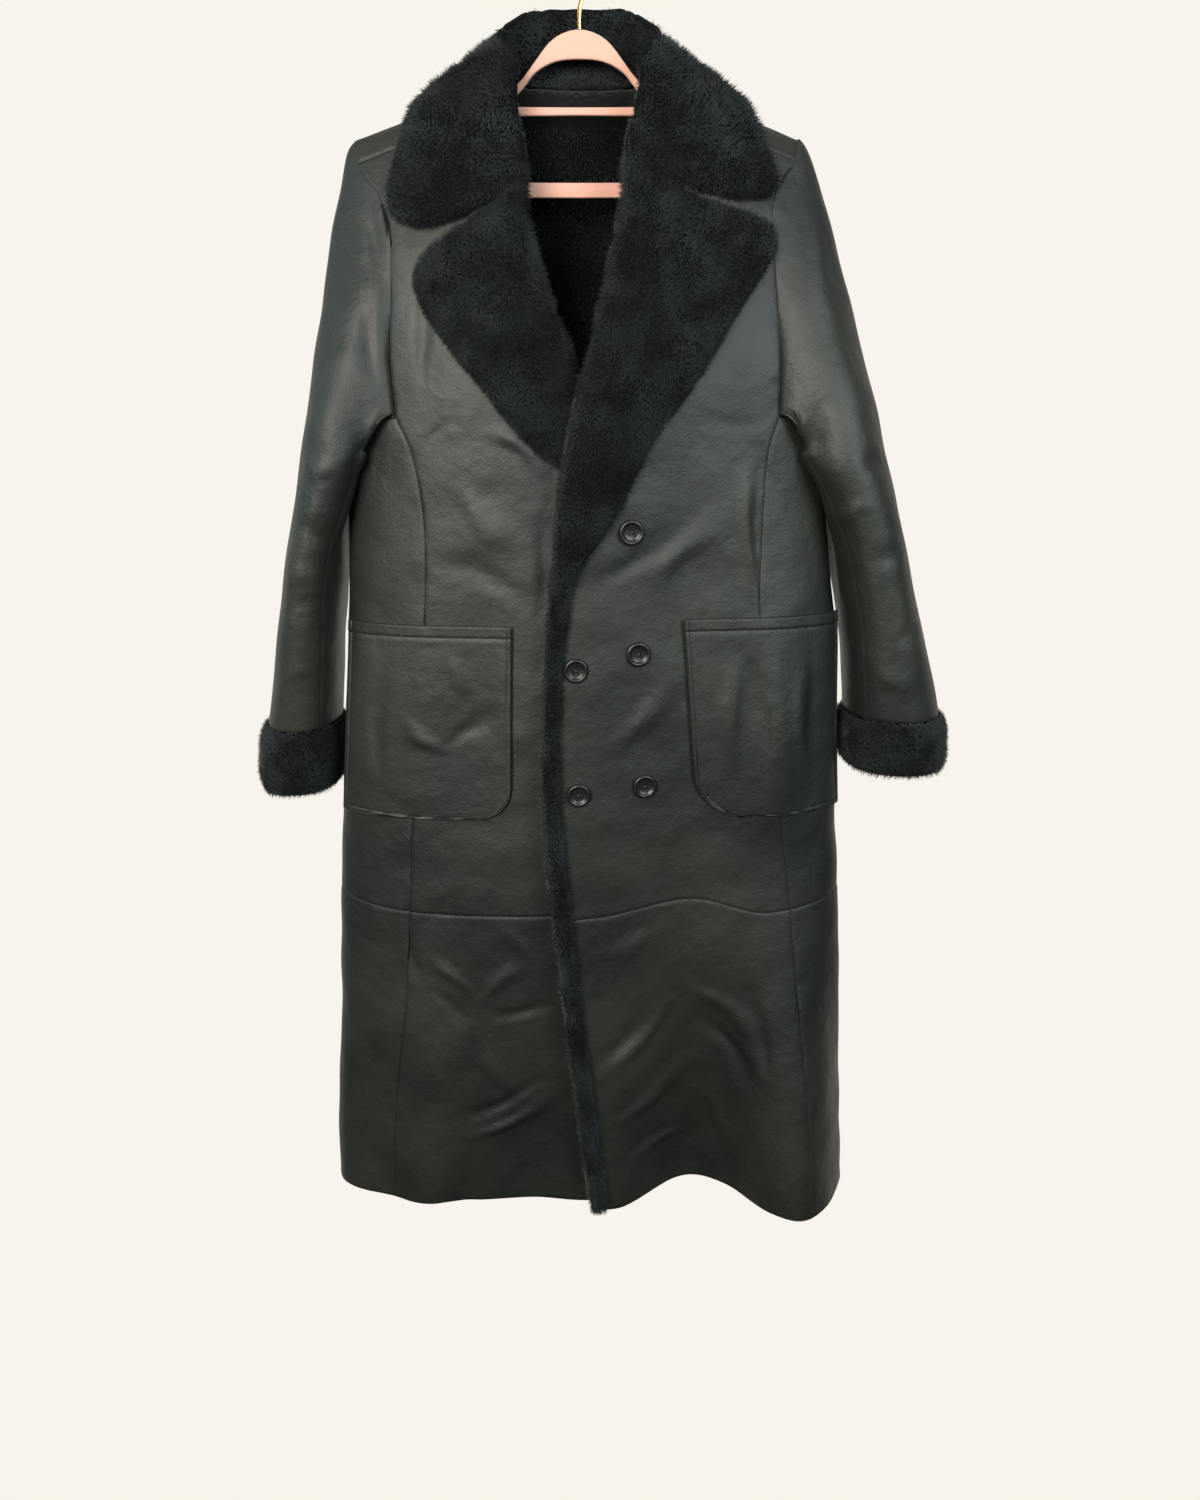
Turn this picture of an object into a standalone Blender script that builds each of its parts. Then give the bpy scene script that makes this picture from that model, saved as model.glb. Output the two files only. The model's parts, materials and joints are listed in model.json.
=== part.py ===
"""A long double-breasted leather coat with fur collar, lapels and cuffs, on a slim hanger.

Metres, +Z up. The origin is the inside of the top of the hanger's hook, the hanger lies in
the plane Y = 0, the coat's front faces -Y, and +X is the wearer's left.
"""
import math
from collections import namedtuple

import bmesh
import bpy
from mathutils import Vector

# --- driving dimensions -------------------------------------------------------------------
WALL = 0.003            # leather with its backing
SEAM = 0.0004           # what parts two pieces that are sewn together
FUR = 0.013             # pressed thickness of the fur pieces
CUFF_FUR = 0.009        # what the cuff's fur stands out from the sleeve
HEM_Z = -1.305
HEM_RISE = (0.125, 0.100, 0.013)    # where the left front's hem curves up, its half width, height
SKIRT_Z = -0.938        # the seam round the body, at its middle
SKIRT_RISE = 0.016      # how much higher that seam lies at the sides
ARM_Z = -0.420          # bottom of the armholes
SEAM_TILT = 66          # the shoulder seam lies in front of the shoulder's ridge
OVERLAP_LIFT = 0.016    # how far the top front stands off the front under it
OVERLAP_END = 0.135     # where the top front comes to lie in the common surface
RIDGE = (-0.118, 0.060, 0.36)    # height of the shoulders at the neck, from x, and their slope
LAPEL_CLEARANCE = 0.0009        # what keeps the lapels off the leather
COLLAR_CLEARANCE = 0.0020
RIDGE_CLEARANCE = 0.0025        # more for the collar where the shoulder's ridge is round
POCKET_CLEARANCE = 0.0012
LINING_DEPTHS = (0.0055, 0.0125)    # of the back's fur lining, in from the back's outside
HANGER_DROP = 0.0055            # how far the hanger's arms lie under the shoulders' ridge
HANGER_TIP = 0.193
BUTTON_RADIUS = 0.0125
HANGER_HALF = 0.0025
WIRE = 0.0019

# The outline of the coat's level sections, from the hem to the armholes.
Section = namedtuple("Section", "z right left front back corner")
SECTIONS = (
    Section(-1.305, -0.297, 0.312, 0.062, 0.070, 2.9),
    Section(-1.210, -0.293, 0.305, 0.063, 0.070, 2.9),
    Section(-1.075, -0.281, 0.296, 0.065, 0.070, 2.8),
    Section(-0.948, -0.273, 0.288, 0.067, 0.069, 2.8),
    Section(-0.827, -0.263, 0.277, 0.069, 0.067, 2.7),
    Section(-0.713, -0.252, 0.269, 0.070, 0.064, 2.7),
    Section(-0.621, -0.244, 0.264, 0.070, 0.062, 2.6),
    Section(-0.522, -0.238, 0.250, 0.071, 0.063, 2.5),
    Section(-0.420, -0.232, 0.242, 0.072, 0.066, 2.5),
)

# Soft folds. face is -1 at the front and 1 at the back; x is taken at the fold's foot and
# head, and a fold that runs out of the hem is open.
Fold = namedtuple("Fold", "face foot_x head_x foot_z head_z half height open")
FOLDS = (
    Fold(-1, 0.252, 0.215, -1.305, -0.860, 0.085, 0.050, True),
    Fold(-1, 0.125, 0.110, -1.305, -0.960, 0.090, -0.030, True),
    Fold(-1, -0.060, -0.030, -1.305, -0.960, 0.070, -0.007, True),
    Fold(-1, -0.185, -0.150, -1.305, -0.900, 0.060, 0.012, True),
    Fold(-1, 0.215, 0.190, -0.900, -0.560, 0.040, 0.010, False),
    Fold(-1, -0.120, -0.100, -0.940, -0.500, 0.060, -0.006, False),
    Fold(1, -0.190, -0.120, -1.305, -0.850, 0.070, 0.020, True),
    Fold(1, 0.010, 0.000, -1.305, -0.700, 0.075, -0.016, True),
    Fold(1, 0.200, 0.130, -1.305, -0.850, 0.070, 0.024, True),
    Fold(1, -0.100, -0.090, -0.760, -0.400, 0.060, 0.006, False),
)

# Seams that run up the body, by height: x at the front on the wearer's right and left.
Seam = namedtuple("Seam", "z right left")
PRINCESS = (
    Seam(-1.305, -0.226, 0.264), Seam(-1.170, -0.215, 0.253), Seam(-1.042, -0.197, 0.238),
    Seam(-0.921, -0.186, 0.224), Seam(-0.829, -0.179, 0.210), Seam(-0.615, -0.157, 0.180),
    Seam(-0.526, -0.153, 0.179), Seam(-0.452, -0.163, 0.182), Seam(-0.420, -0.177, 0.191),
)
BACK_SEAM = (
    Seam(-1.305, -0.215, 0.225), Seam(-0.930, -0.180, 0.190), Seam(-0.600, -0.160, 0.168),
    Seam(-0.480, -0.166, 0.174), Seam(-0.420, -0.180, 0.186),
)
# The fronts' free edges. The right front lies under the left one below the lapels.
FRONT_EDGE = (
    Seam(-1.305, 0.060, 0.016), Seam(-1.149, 0.060, -0.001), Seam(-1.025, 0.060, -0.014),
    Seam(-0.907, 0.060, -0.025), Seam(-0.817, 0.060, -0.032), Seam(-0.742, 0.060, -0.032),
    Seam(-0.670, 0.060, -0.029), Seam(-0.590, 0.060, -0.023), Seam(-0.513, 0.056, -0.013),
    Seam(-0.460, 0.026, -0.001), Seam(-0.404, 0.001, 0.012), Seam(-0.352, -0.022, 0.027),
    Seam(-0.305, -0.040, 0.038), Seam(-0.255, -0.054, 0.048), Seam(-0.205, -0.062, 0.056),
    Seam(-0.160, -0.070, 0.066), Seam(-0.120, -0.076, 0.076),
)
# The armholes, by tilt: 0 is level with their bottom at the front, 90 the shoulder's ridge
# and 180 level with their bottom at the back.
Armhole = namedtuple("Armhole", "tilt right left")
ARMHOLE = (
    Armhole(0, -0.177, 0.191), Armhole(12, -0.180, 0.190), Armhole(24, -0.177, 0.186),
    Armhole(36, -0.176, 0.181), Armhole(48, -0.183, 0.181), Armhole(58, -0.200, 0.190),
    Armhole(66, -0.208, 0.202), Armhole(90, -0.211, 0.206), Armhole(112, -0.208, 0.203),
    Armhole(130, -0.196, 0.193), Armhole(150, -0.187, 0.187), Armhole(180, -0.180, 0.186),
)
# The back's neckline: how far up and over the ridge the back reaches, by x.
Neckline = namedtuple("Neckline", "x tilt")
NECKLINE = (Neckline(0.0, 104), Neckline(0.035, 103), Neckline(0.060, 98),
            Neckline(0.078, SEAM_TILT), Neckline(0.079, SEAM_TILT), Neckline(0.300, SEAM_TILT))

# Level sections of the sleeves below the armhole: their two edges seen from the front, and
# their middle and half depth in Y.
Sleeve = namedtuple("Sleeve", "z inner outer y half")
SLEEVES = {
    "right": (Sleeve(-0.460, -0.198, -0.279, 0.002, 0.078),
              Sleeve(-0.500, -0.220, -0.288, 0.004, 0.078),
              Sleeve(-0.557, -0.244, -0.301, 0.008, 0.076),
              Sleeve(-0.620, -0.254, -0.315, 0.012, 0.072),
              Sleeve(-0.680, -0.261, -0.328, 0.017, 0.067),
              Sleeve(-0.738, -0.267, -0.341, 0.021, 0.062)),
    "left": (Sleeve(-0.460, 0.206, 0.305, 0.000, 0.078),
             Sleeve(-0.500, 0.232, 0.317, 0.001, 0.078),
             Sleeve(-0.557, 0.256, 0.333, 0.002, 0.075),
             Sleeve(-0.620, 0.272, 0.351, 0.002, 0.071),
             Sleeve(-0.680, 0.279, 0.369, 0.001, 0.066),
             Sleeve(-0.722, 0.283, 0.380, 0.000, 0.062)),
}
CUFF_HEIGHT = {"right": 0.070, "left": 0.058}
SLEEVE_POWER = 2.3
RING_EVENNESS = 0.45    # how evenly the armhole's points spread round the sleeve
CAP_FULLNESS = 0.20     # how far the sleeve goes on sideways from the shoulder

# Fur lapels, a row from the roll line to the outer edge, and the left one's band below.
Lapel = namedtuple("Lapel", "roll_x roll_z edge_x edge_z thick")
LAPEL_RIGHT = (
    Lapel(-0.050, -0.216, -0.094, -0.246, 0.012), Lapel(-0.050, -0.236, -0.134, -0.273, 0.012),
    Lapel(-0.047, -0.256, -0.148, -0.292, 0.012), Lapel(-0.040, -0.284, -0.141, -0.320, 0.012),
    Lapel(-0.030, -0.313, -0.126, -0.344, 0.012), Lapel(-0.014, -0.354, -0.083, -0.398, 0.011),
    Lapel(0.000, -0.398, -0.048, -0.438, 0.010), Lapel(0.010, -0.436, -0.022, -0.464, 0.009),
    Lapel(0.020, -0.470, 0.004, -0.492, 0.009),
)
FACING_LEFT = (
    Lapel(0.043, -0.205, 0.106, -0.230, 0.013), Lapel(0.043, -0.226, 0.168, -0.248, 0.013),
    Lapel(0.041, -0.240, 0.177, -0.263, 0.013), Lapel(0.035, -0.272, 0.165, -0.290, 0.013),
    Lapel(0.027, -0.305, 0.141, -0.327, 0.013), Lapel(0.014, -0.356, 0.110, -0.378, 0.013),
    Lapel(0.001, -0.404, 0.065, -0.439, 0.013), Lapel(-0.009, -0.450, 0.038, -0.492, 0.013),
    Lapel(-0.018, -0.493, 0.017, -0.530, 0.013), Lapel(-0.025, -0.540, -0.001, -0.562, 0.012),
    Lapel(-0.031, -0.590, -0.010, -0.596, 0.011), Lapel(-0.037, -0.670, -0.019, -0.670, 0.011),
    Lapel(-0.040, -0.742, -0.021, -0.742, 0.011), Lapel(-0.040, -0.817, -0.020, -0.817, 0.011),
    Lapel(-0.033, -0.907, -0.012, -0.907, 0.011), Lapel(-0.022, -1.025, -0.001, -1.025, 0.011),
    Lapel(-0.009, -1.149, 0.012, -1.149, 0.011), Lapel(0.008, -1.304, 0.029, -1.304, 0.011),
)

# The fur collar, by station from its front end to the middle of the back. neck and edge are
# x and the tilt on the coat's surface, stand is the height of its roll over the neckline,
# and lean_x, lean_y, lean_z the way in which it stands there.
Collar = namedtuple("Collar", "neck_x neck_tilt edge_x edge_tilt stand lean_x lean_y lean_z")
COLLAR_RIGHT = (
    Collar(-0.050, 44.5, -0.098, 42.0, 0.012, 0.15, -1.00, 0.05),
    Collar(-0.052, 49.0, -0.145, 40.0, 0.013, 0.15, -1.00, 0.10),
    Collar(-0.055, 53.0, -0.172, 44.0, 0.015, 0.10, -1.00, 0.25),
    Collar(-0.060, 60.0, -0.173, 52.0, 0.020, 0.10, -0.80, 0.60),
    Collar(-0.068, 70.0, -0.164, 66.0, 0.034, 0.10, -0.50, 0.90),
    Collar(-0.077, 86.0, -0.152, 86.0, 0.052, 0.10, -0.10, 1.00),
    Collar(-0.066, 97.5, -0.136, 122.0, 0.070, 0.10, 0.15, 1.00),
    Collar(-0.036, 104.0, -0.075, 133.0, 0.080, 0.05, 0.30, 1.00),
    Collar(0.000, 105.0, 0.000, 135.0, 0.084, 0.00, 0.35, 1.00),
)
COLLAR_LEFT = (
    Collar(0.044, 46.5, 0.113, 44.5, 0.013, -0.15, -1.00, 0.05),
    Collar(0.046, 51.0, 0.160, 44.5, 0.013, -0.15, -1.00, 0.10),
    Collar(0.050, 56.0, 0.179, 49.0, 0.015, -0.10, -1.00, 0.25),
    Collar(0.058, 62.0, 0.178, 57.0, 0.020, -0.10, -0.80, 0.60),
    Collar(0.067, 71.0, 0.168, 68.0, 0.034, -0.10, -0.50, 0.90),
    Collar(0.077, 86.0, 0.154, 87.0, 0.052, -0.10, -0.10, 1.00),
    Collar(0.066, 97.5, 0.136, 122.0, 0.070, -0.10, 0.15, 1.00),
    Collar(0.036, 104.0, 0.075, 133.0, 0.080, -0.05, 0.30, 1.00),
)

# Patch pockets: inner top corner, how far it slants in, corner radius, turn at the side.
Pocket = namedtuple("Pocket", "inner slant top foot radius side_turn")
POCKETS = {
    "right": Pocket(-0.068, -0.005, -0.620, -0.826, 0.036, -74),
    "left": Pocket(0.101, 0.018, -0.612, -0.822, 0.050, 80),
}
BUTTONS = ((0.049, -0.526), (0.057, -0.646), (-0.005, -0.661), (-0.003, -0.792), (0.065, -0.785))

# How finely the pieces are divided.
SKIRT_ROWS = 8
BODY_ROWS = 9
FRONT_TILTS = (0, 12, 24, 36, 48, 58, SEAM_TILT)
BACK_TILTS = (180, 172, 160, 145, 129, 116, 106, 98, 90, 82, 74, SEAM_TILT)
BACK_SHARES = (0, 0.10, 0.21, 0.32, 0.418, 0.56, 0.71, 0.86, 1)
SIDE_COLUMNS = 9
SLEEVE_CAP = (0.14, 0.34, 0.57, 0.80, 1.0)


# --- curves and surfaces ------------------------------------------------------------------
def value(rows, place, column):
    """The smooth value of a table's column, by the table's first column."""
    keys = [row[0] for row in rows]
    place = min(max(place, keys[0]), keys[-1])
    i = max(k for k in range(len(rows) - 1) if keys[k] <= place)
    points = [getattr(row, column) for row in rows]

    def slope(k):
        a, b = max(k - 1, 0), min(k + 1, len(rows) - 1)
        return (points[b] - points[a]) / (keys[b] - keys[a])

    span = keys[i + 1] - keys[i]
    t = (place - keys[i]) / span
    return ((2 * t**3 - 3 * t**2 + 1) * points[i] + (t**3 - 2 * t**2 + t) * span * slope(i)
            + (3 * t**2 - 2 * t**3) * points[i + 1] + (t**3 - t**2) * span * slope(i + 1))


def smooth(t):
    t = min(max(t, 0.0), 1.0)
    return t * t * (3 - 2 * t)


def signed_power(number, power):
    return math.copysign(abs(number) ** power, number)


def fold_height(face, x, z):
    """What the folds add to the surface at x and z, outward."""
    total = 0.0
    for fold in FOLDS:
        t = (z - fold.foot_z) / (fold.head_z - fold.foot_z)
        if fold.face != face or not -0.001 <= t <= 1:
            continue
        across = (x - fold.foot_x - t * (fold.head_x - fold.foot_x)) / fold.half
        if abs(across) < 1:
            along = smooth(1 - t) if fold.open else math.sin(math.pi * t) ** 2
            total += fold.height * along * math.cos(across * math.pi / 2) ** 2
    return total


def lift(x, z):
    """How far the left front stands off the common surface, over the right front."""
    edge = value(FRONT_EDGE, z, "left")
    across = smooth((OVERLAP_END - x) / (OVERLAP_END - edge))
    return OVERLAP_LIFT * across * smooth((-0.270 - z) / 0.130)


def lower(turn, z, lifted=False):
    """The outer surface below the armholes. Turn 0 is the front, 90 the left side."""
    right, left = value(SECTIONS, z, "right"), value(SECTIONS, z, "left")
    power = 2 / value(SECTIONS, z, "corner")
    s, c = math.sin(math.radians(turn)), math.cos(math.radians(turn))
    x = (left + right) / 2 + (left - right) / 2 * signed_power(s, power)
    face = -1 if c > 0 else 1
    depth = value(SECTIONS, z, "front" if c > 0 else "back")
    y = face * (depth * abs(c) ** power + fold_height(face, x, z) * min(1, abs(c) * 2.2))
    if lifted and c > 0:
        y -= lift(x, z)
    return Vector((x, y, z))


def turn_at(x, z):
    """The turn at which the front has a given x. The back has it at 180 less this."""
    right, left = value(SECTIONS, z, "right"), value(SECTIONS, z, "left")
    across = min(max((2 * x - left - right) / (left - right), -1), 1)
    half_corner = value(SECTIONS, z, "corner") / 2
    return math.degrees(math.asin(signed_power(across, half_corner)))


def ridge(x):
    """Height of the shoulder's ridge. Inside the neck it goes on level."""
    height, start, slope = RIDGE
    return height - slope * max(abs(x) - start, 0)


def upper(x, tilt, lifted=False):
    """The outer surface over the armholes' bottom, from the front over the ridge."""
    c = math.cos(math.radians(tilt))
    z = ARM_Z + (ridge(x) - ARM_Z) * math.sin(math.radians(tilt))
    turn = turn_at(x, ARM_Z)
    base = lower(turn if c > 0 else 180 - turn, ARM_Z)
    y = base.y * abs(c) ** 1.25
    if lifted and c > 0:
        y -= lift(x, z)
    return Vector((x, y, z))


def tilt_at(x, z):
    return math.degrees(math.asin(min((z - ARM_Z) / (ridge(x) - ARM_Z), 1)))


def with_normal(surface, a, b, lifted=False):
    """A point of a surface and the direction out of the coat there."""
    point = surface(a, b, lifted)
    step_a, step_b = (0.4, 0.002) if surface is lower else (0.002, 0.4)
    along_a = surface(a + step_a, b, lifted) - surface(a - step_a, b, lifted)
    along_b = surface(a, b + step_b, lifted) - surface(a, b - step_b, lifted)
    return point, along_a.cross(along_b).normalized()


def front(x, z, lifted=False):
    """A point of the front, and its normal, by x and z."""
    if z <= ARM_Z:
        return with_normal(lower, turn_at(x, z), z, lifted)
    return with_normal(upper, x, tilt_at(x, z), lifted)


# --- meshes -------------------------------------------------------------------------------
def material(name, colour, roughness, metallic=0.0):
    made = bpy.data.materials.new(name)
    made.use_nodes = True
    shader = made.node_tree.nodes["Principled BSDF"]
    shader.inputs["Base Color"].default_value = (*colour, 1)
    shader.inputs["Roughness"].default_value = roughness
    shader.inputs["Metallic"].default_value = metallic
    return made


def add_object(name, data, finish):
    made = bpy.data.objects.new(name, data)
    made.data.materials.append(finish)
    coat.objects.link(made)
    return made


def pull_in(grid, amount=SEAM / 2):
    """Moves the border of a grid of points inward, which leaves the gap of a seam."""
    rows = [[point.copy() for point in row] for row in grid]
    for row in rows:
        row[0] += (row[1] - row[0]).normalized() * amount
        row[-1] += (row[-2] - row[-1]).normalized() * amount
    for k in range(len(rows[0])):
        rows[0][k] += (rows[1][k] - rows[0][k]).normalized() * amount
        rows[-1][k] += (rows[-2][k] - rows[-1][k]).normalized() * amount
    return rows


def wall(name, outer, inner, finish):
    """A closed wall between two grids of points, extruded from the outer to the inner."""
    mesh = bmesh.new()
    grid = [[mesh.verts.new(point) for point in row] for row in outer]
    for i in range(len(grid) - 1):
        for k in range(len(grid[0]) - 1):
            mesh.faces.new((grid[i][k], grid[i][k + 1], grid[i + 1][k + 1], grid[i + 1][k]))
    places = {vert: inner[i][k] for i, row in enumerate(grid) for k, vert in enumerate(row)}
    order = [vert for row in grid for vert in row]
    pushed = bmesh.ops.extrude_face_region(mesh, geom=mesh.faces[:])["geom"]
    moved = [item for item in pushed if isinstance(item, bmesh.types.BMVert)]
    by_place = {tuple(vert.co): places[vert] for vert in order}
    for vert in moved:
        vert.co = by_place[tuple(vert.co)]
    bmesh.ops.recalc_face_normals(mesh, faces=mesh.faces[:])
    data = bpy.data.meshes.new(name)
    mesh.to_mesh(data)
    mesh.free()
    data.shade_smooth()
    data.set_sharp_from_angle(angle=math.radians(50))
    return add_object(name, data, finish)


def panel(name, grid, finish, thick=WALL):
    """A cloth panel from a grid of outer points and normals."""
    outer = pull_in([[point for point, _ in row] for row in grid])
    inner = pull_in([[point - normal * thick for point, normal in row] for row in grid])
    return wall(name, outer, inner, finish)


def loft(name, loops, finish, closed_path=False):
    """A closed solid through loops of points, capped at both ends unless the path closes."""
    mesh = bmesh.new()
    rings = [[mesh.verts.new(point) for point in loop] for loop in loops]
    pairs = list(zip(rings, rings[1:])) + ([(rings[-1], rings[0])] if closed_path else [])
    for one, two in pairs:
        for k in range(len(one)):
            j = (k + 1) % len(one)
            mesh.faces.new((one[k], one[j], two[j], two[k]))
    if not closed_path:
        mesh.faces.new(rings[0])
        mesh.faces.new(rings[-1])
    bmesh.ops.recalc_face_normals(mesh, faces=mesh.faces[:])
    data = bpy.data.meshes.new(name)
    mesh.to_mesh(data)
    mesh.free()
    data.shade_smooth()
    data.set_sharp_from_angle(angle=math.radians(60))
    return add_object(name, data, finish)


# --- the coat's body ----------------------------------------------------------------------
def hem(turn):
    """Height of the hem at a turn: level, but for the curve of the left front."""
    middle, half, rise = HEM_RISE
    across = (lower(turn, HEM_Z).x - middle) / half
    if abs(turn) > 90 or abs(across) > 1:
        return HEM_Z
    return HEM_Z + rise * math.cos(across * math.pi / 2) ** 2


def skirt_seam(turn):
    return SKIRT_Z + SKIRT_RISE * math.sin(math.radians(turn)) ** 4


def spread(first, last, count):
    return [first + (last - first) * k / (count - 1) for k in range(count)]


def rows_between(foot, head, count):
    """Heights of a panel's rows at a turn, where foot and head may depend on the turn."""
    return lambda turn: spread(foot(turn), head(turn), count + 1)


def skirt_heights():
    return rows_between(hem, skirt_seam, SKIRT_ROWS)


def body_heights():
    return rows_between(skirt_seam, lambda turn: ARM_Z, BODY_ROWS)


def lower_grid(turns_at, heights, lifted=False):
    """Rows of points: the turns of a row are taken at the height that it has in its middle."""
    count = len(heights(0))
    grid = []
    for i in range(count):
        turns = turns_at(heights(0)[i])
        row = []
        for turn in turns:
            z = heights(turn)[i]
            row.append(with_normal(lower, turn, z, lifted))
        grid.append(row)
    return grid


def front_turns(side, count):
    def turns(z):
        edge = turn_at(value(FRONT_EDGE, z, side), z)
        seam = turn_at(value(PRINCESS, z, side), z)
        return spread(edge, seam, count)
    return turns


def side_turns(side):
    def turns(z):
        seam = turn_at(value(PRINCESS, z, side), z)
        back = turn_at(value(BACK_SEAM, z, side), z)
        return spread(seam, (180 if side == "left" else -180) - back, SIDE_COLUMNS)
    return turns


def back_turns(z):
    """The back's columns, from the left seam to the right one, at shares of their x."""
    places = [value(BACK_SEAM, z, "left") * share for share in reversed(BACK_SHARES)]
    places += [value(BACK_SEAM, z, "right") * share for share in BACK_SHARES[1:]]
    return [180 - turn_at(x, z) for x in places]


def front_upper_rows(side, columns, lifted):
    """The front over the armhole's bottom, up to the shoulder seam."""
    shares = front_shares(side, columns)
    rows = []
    for tilt in FRONT_TILTS[1:]:
        edge = 0.0
        for _ in range(4):
            z = ARM_Z + (ridge(edge) - ARM_Z) * math.sin(math.radians(tilt))
            edge = value(FRONT_EDGE, z, side)
        hole = value(ARMHOLE, tilt, side)
        rows.append([with_normal(upper, edge + (hole - edge) * share, tilt, lifted)
                     for share in shares])
    return rows


def front_shares(side, columns):
    """Where a front's columns lie across it at the armhole's bottom, from 0 to 1."""
    places = [lower(turn, ARM_Z).x for turn in front_turns(side, columns)(ARM_Z)]
    return [(x - places[0]) / (places[-1] - places[0]) for x in places]


def back_upper_rows():
    """The back over the armholes' bottom, over the ridge to the shoulder seams."""
    places = [lower(turn, ARM_Z).x for turn in back_turns(ARM_Z)]
    rows = []
    for tilt in BACK_TILTS[1:]:
        row = []
        for x in places:
            hole = value(ARMHOLE, tilt, "left" if x > 0 else "right")
            spot = x * hole / value(ARMHOLE, 180, "left" if x > 0 else "right")
            limit = max(value(NECKLINE, abs(spot), "tilt"), SEAM_TILT)
            share = (180 - tilt) / (180 - SEAM_TILT)
            row.append(with_normal(upper, spot, 180 - share * (180 - limit)))
        rows.append(row)
    return rows


def make_body():
    for side, lifted, columns in (("right", False, 12), ("left", True, 11)):
        turns = front_turns(side, columns)
        panel(f"front_{side}_skirt", lower_grid(turns, skirt_heights(), lifted), leather)
        grid = lower_grid(turns, body_heights(), lifted)
        grid += front_upper_rows(side, columns, lifted)
        panel(f"front_{side}", grid, leather)
        panel(f"side_{side}_skirt", lower_grid(side_turns(side), skirt_heights()), leather)
        panel(f"side_{side}", lower_grid(side_turns(side), body_heights()), leather)
    panel("back_skirt", lower_grid(back_turns, skirt_heights()), leather)
    panel("back", lower_grid(back_turns, body_heights()) + back_upper_rows(), leather)


# --- sleeves and cuffs --------------------------------------------------------------------
def armhole_ring(side):
    """Round an armhole from the ridge, by the front and the underarm to the back.

    Each entry is a point, its normal, and the direction in which the sleeve sets off."""
    sign = 1 if side == "left" else -1
    ring = []

    def add_upper(tilt):
        x = value(ARMHOLE, tilt, side)
        point, normal = with_normal(upper, x, tilt, False)
        sideways = (upper(x + sign * 0.004, tilt) - point).normalized()
        share = smooth(math.sin(math.radians(tilt)) / 0.75)
        way = sideways * share + (normal * 0.8 + Vector((0, 0, 0.6))) * (1 - share)
        ring.append((point, normal, way.normalized()))

    for tilt in (90, 82, 74, *reversed(FRONT_TILTS)):
        add_upper(tilt)
    for turn in side_turns(side)(ARM_Z)[1:-1]:
        point, normal = with_normal(lower, turn, ARM_Z)
        ring.append((point, normal, (normal * 0.8 + Vector((0, 0, 0.6))).normalized()))
    for tilt in BACK_TILTS[:-4]:
        add_upper(tilt)
    return ring


def ring_angles(ring):
    """The angle round the sleeve of each place on the ring: 0 outside, 180 underarm."""
    count = len(ring)
    under = len(FRONT_TILTS) + 3 + (SIDE_COLUMNS - 2) // 2
    length = [0.0]
    for k in range(count):
        length.append(length[-1] + (ring[(k + 1) % count][0] - ring[k][0]).length)
    angles = []
    for k in range(count):
        if k <= under:
            by_length, by_number = length[k] / length[under], k / under
        else:
            by_length = 1 + (length[k] - length[under]) / (length[-1] - length[under])
            by_number = 1 + (k - under) / (count - under)
        angles.append(180 * (by_length * (1 - RING_EVENNESS) + by_number * RING_EVENNESS))
    return angles


def clear_of_body(point, side, clearance):
    """Moves a sleeve's point out of the body's side, along X."""
    if point.z > ARM_Z:
        return point
    depth = value(SECTIONS, point.z, "front" if point.y < 0 else "back")
    share = abs(point.y) / (depth + 0.004)
    if share >= 1:
        return point
    right, left = value(SECTIONS, point.z, "right"), value(SECTIONS, point.z, "left")
    corner = value(SECTIONS, point.z, "corner")
    half = (left - right) / 2 * (1 - share**corner) ** (1 / corner) + clearance
    middle = (left + right) / 2
    if side == "left":
        return Vector((max(point.x, middle + half), point.y, point.z))
    return Vector((min(point.x, middle - half), point.y, point.z))


def sleeve_point(side, angle, z):
    """A point of the sleeve's level section: angle 0 is outside and 90 at the front."""
    table = tuple(reversed(SLEEVES[side]))
    inner, outer = value(table, z, "inner"), value(table, z, "outer")
    c, s = math.cos(math.radians(angle)), math.sin(math.radians(angle))
    x = (inner + outer) / 2 + (outer - inner) / 2 * signed_power(c, 2 / SLEEVE_POWER)
    y = value(table, z, "y") - value(table, z, "half") * signed_power(s, 2 / SLEEVE_POWER)
    return clear_of_body(Vector((x, y, z)), side, 0.006)


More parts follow.
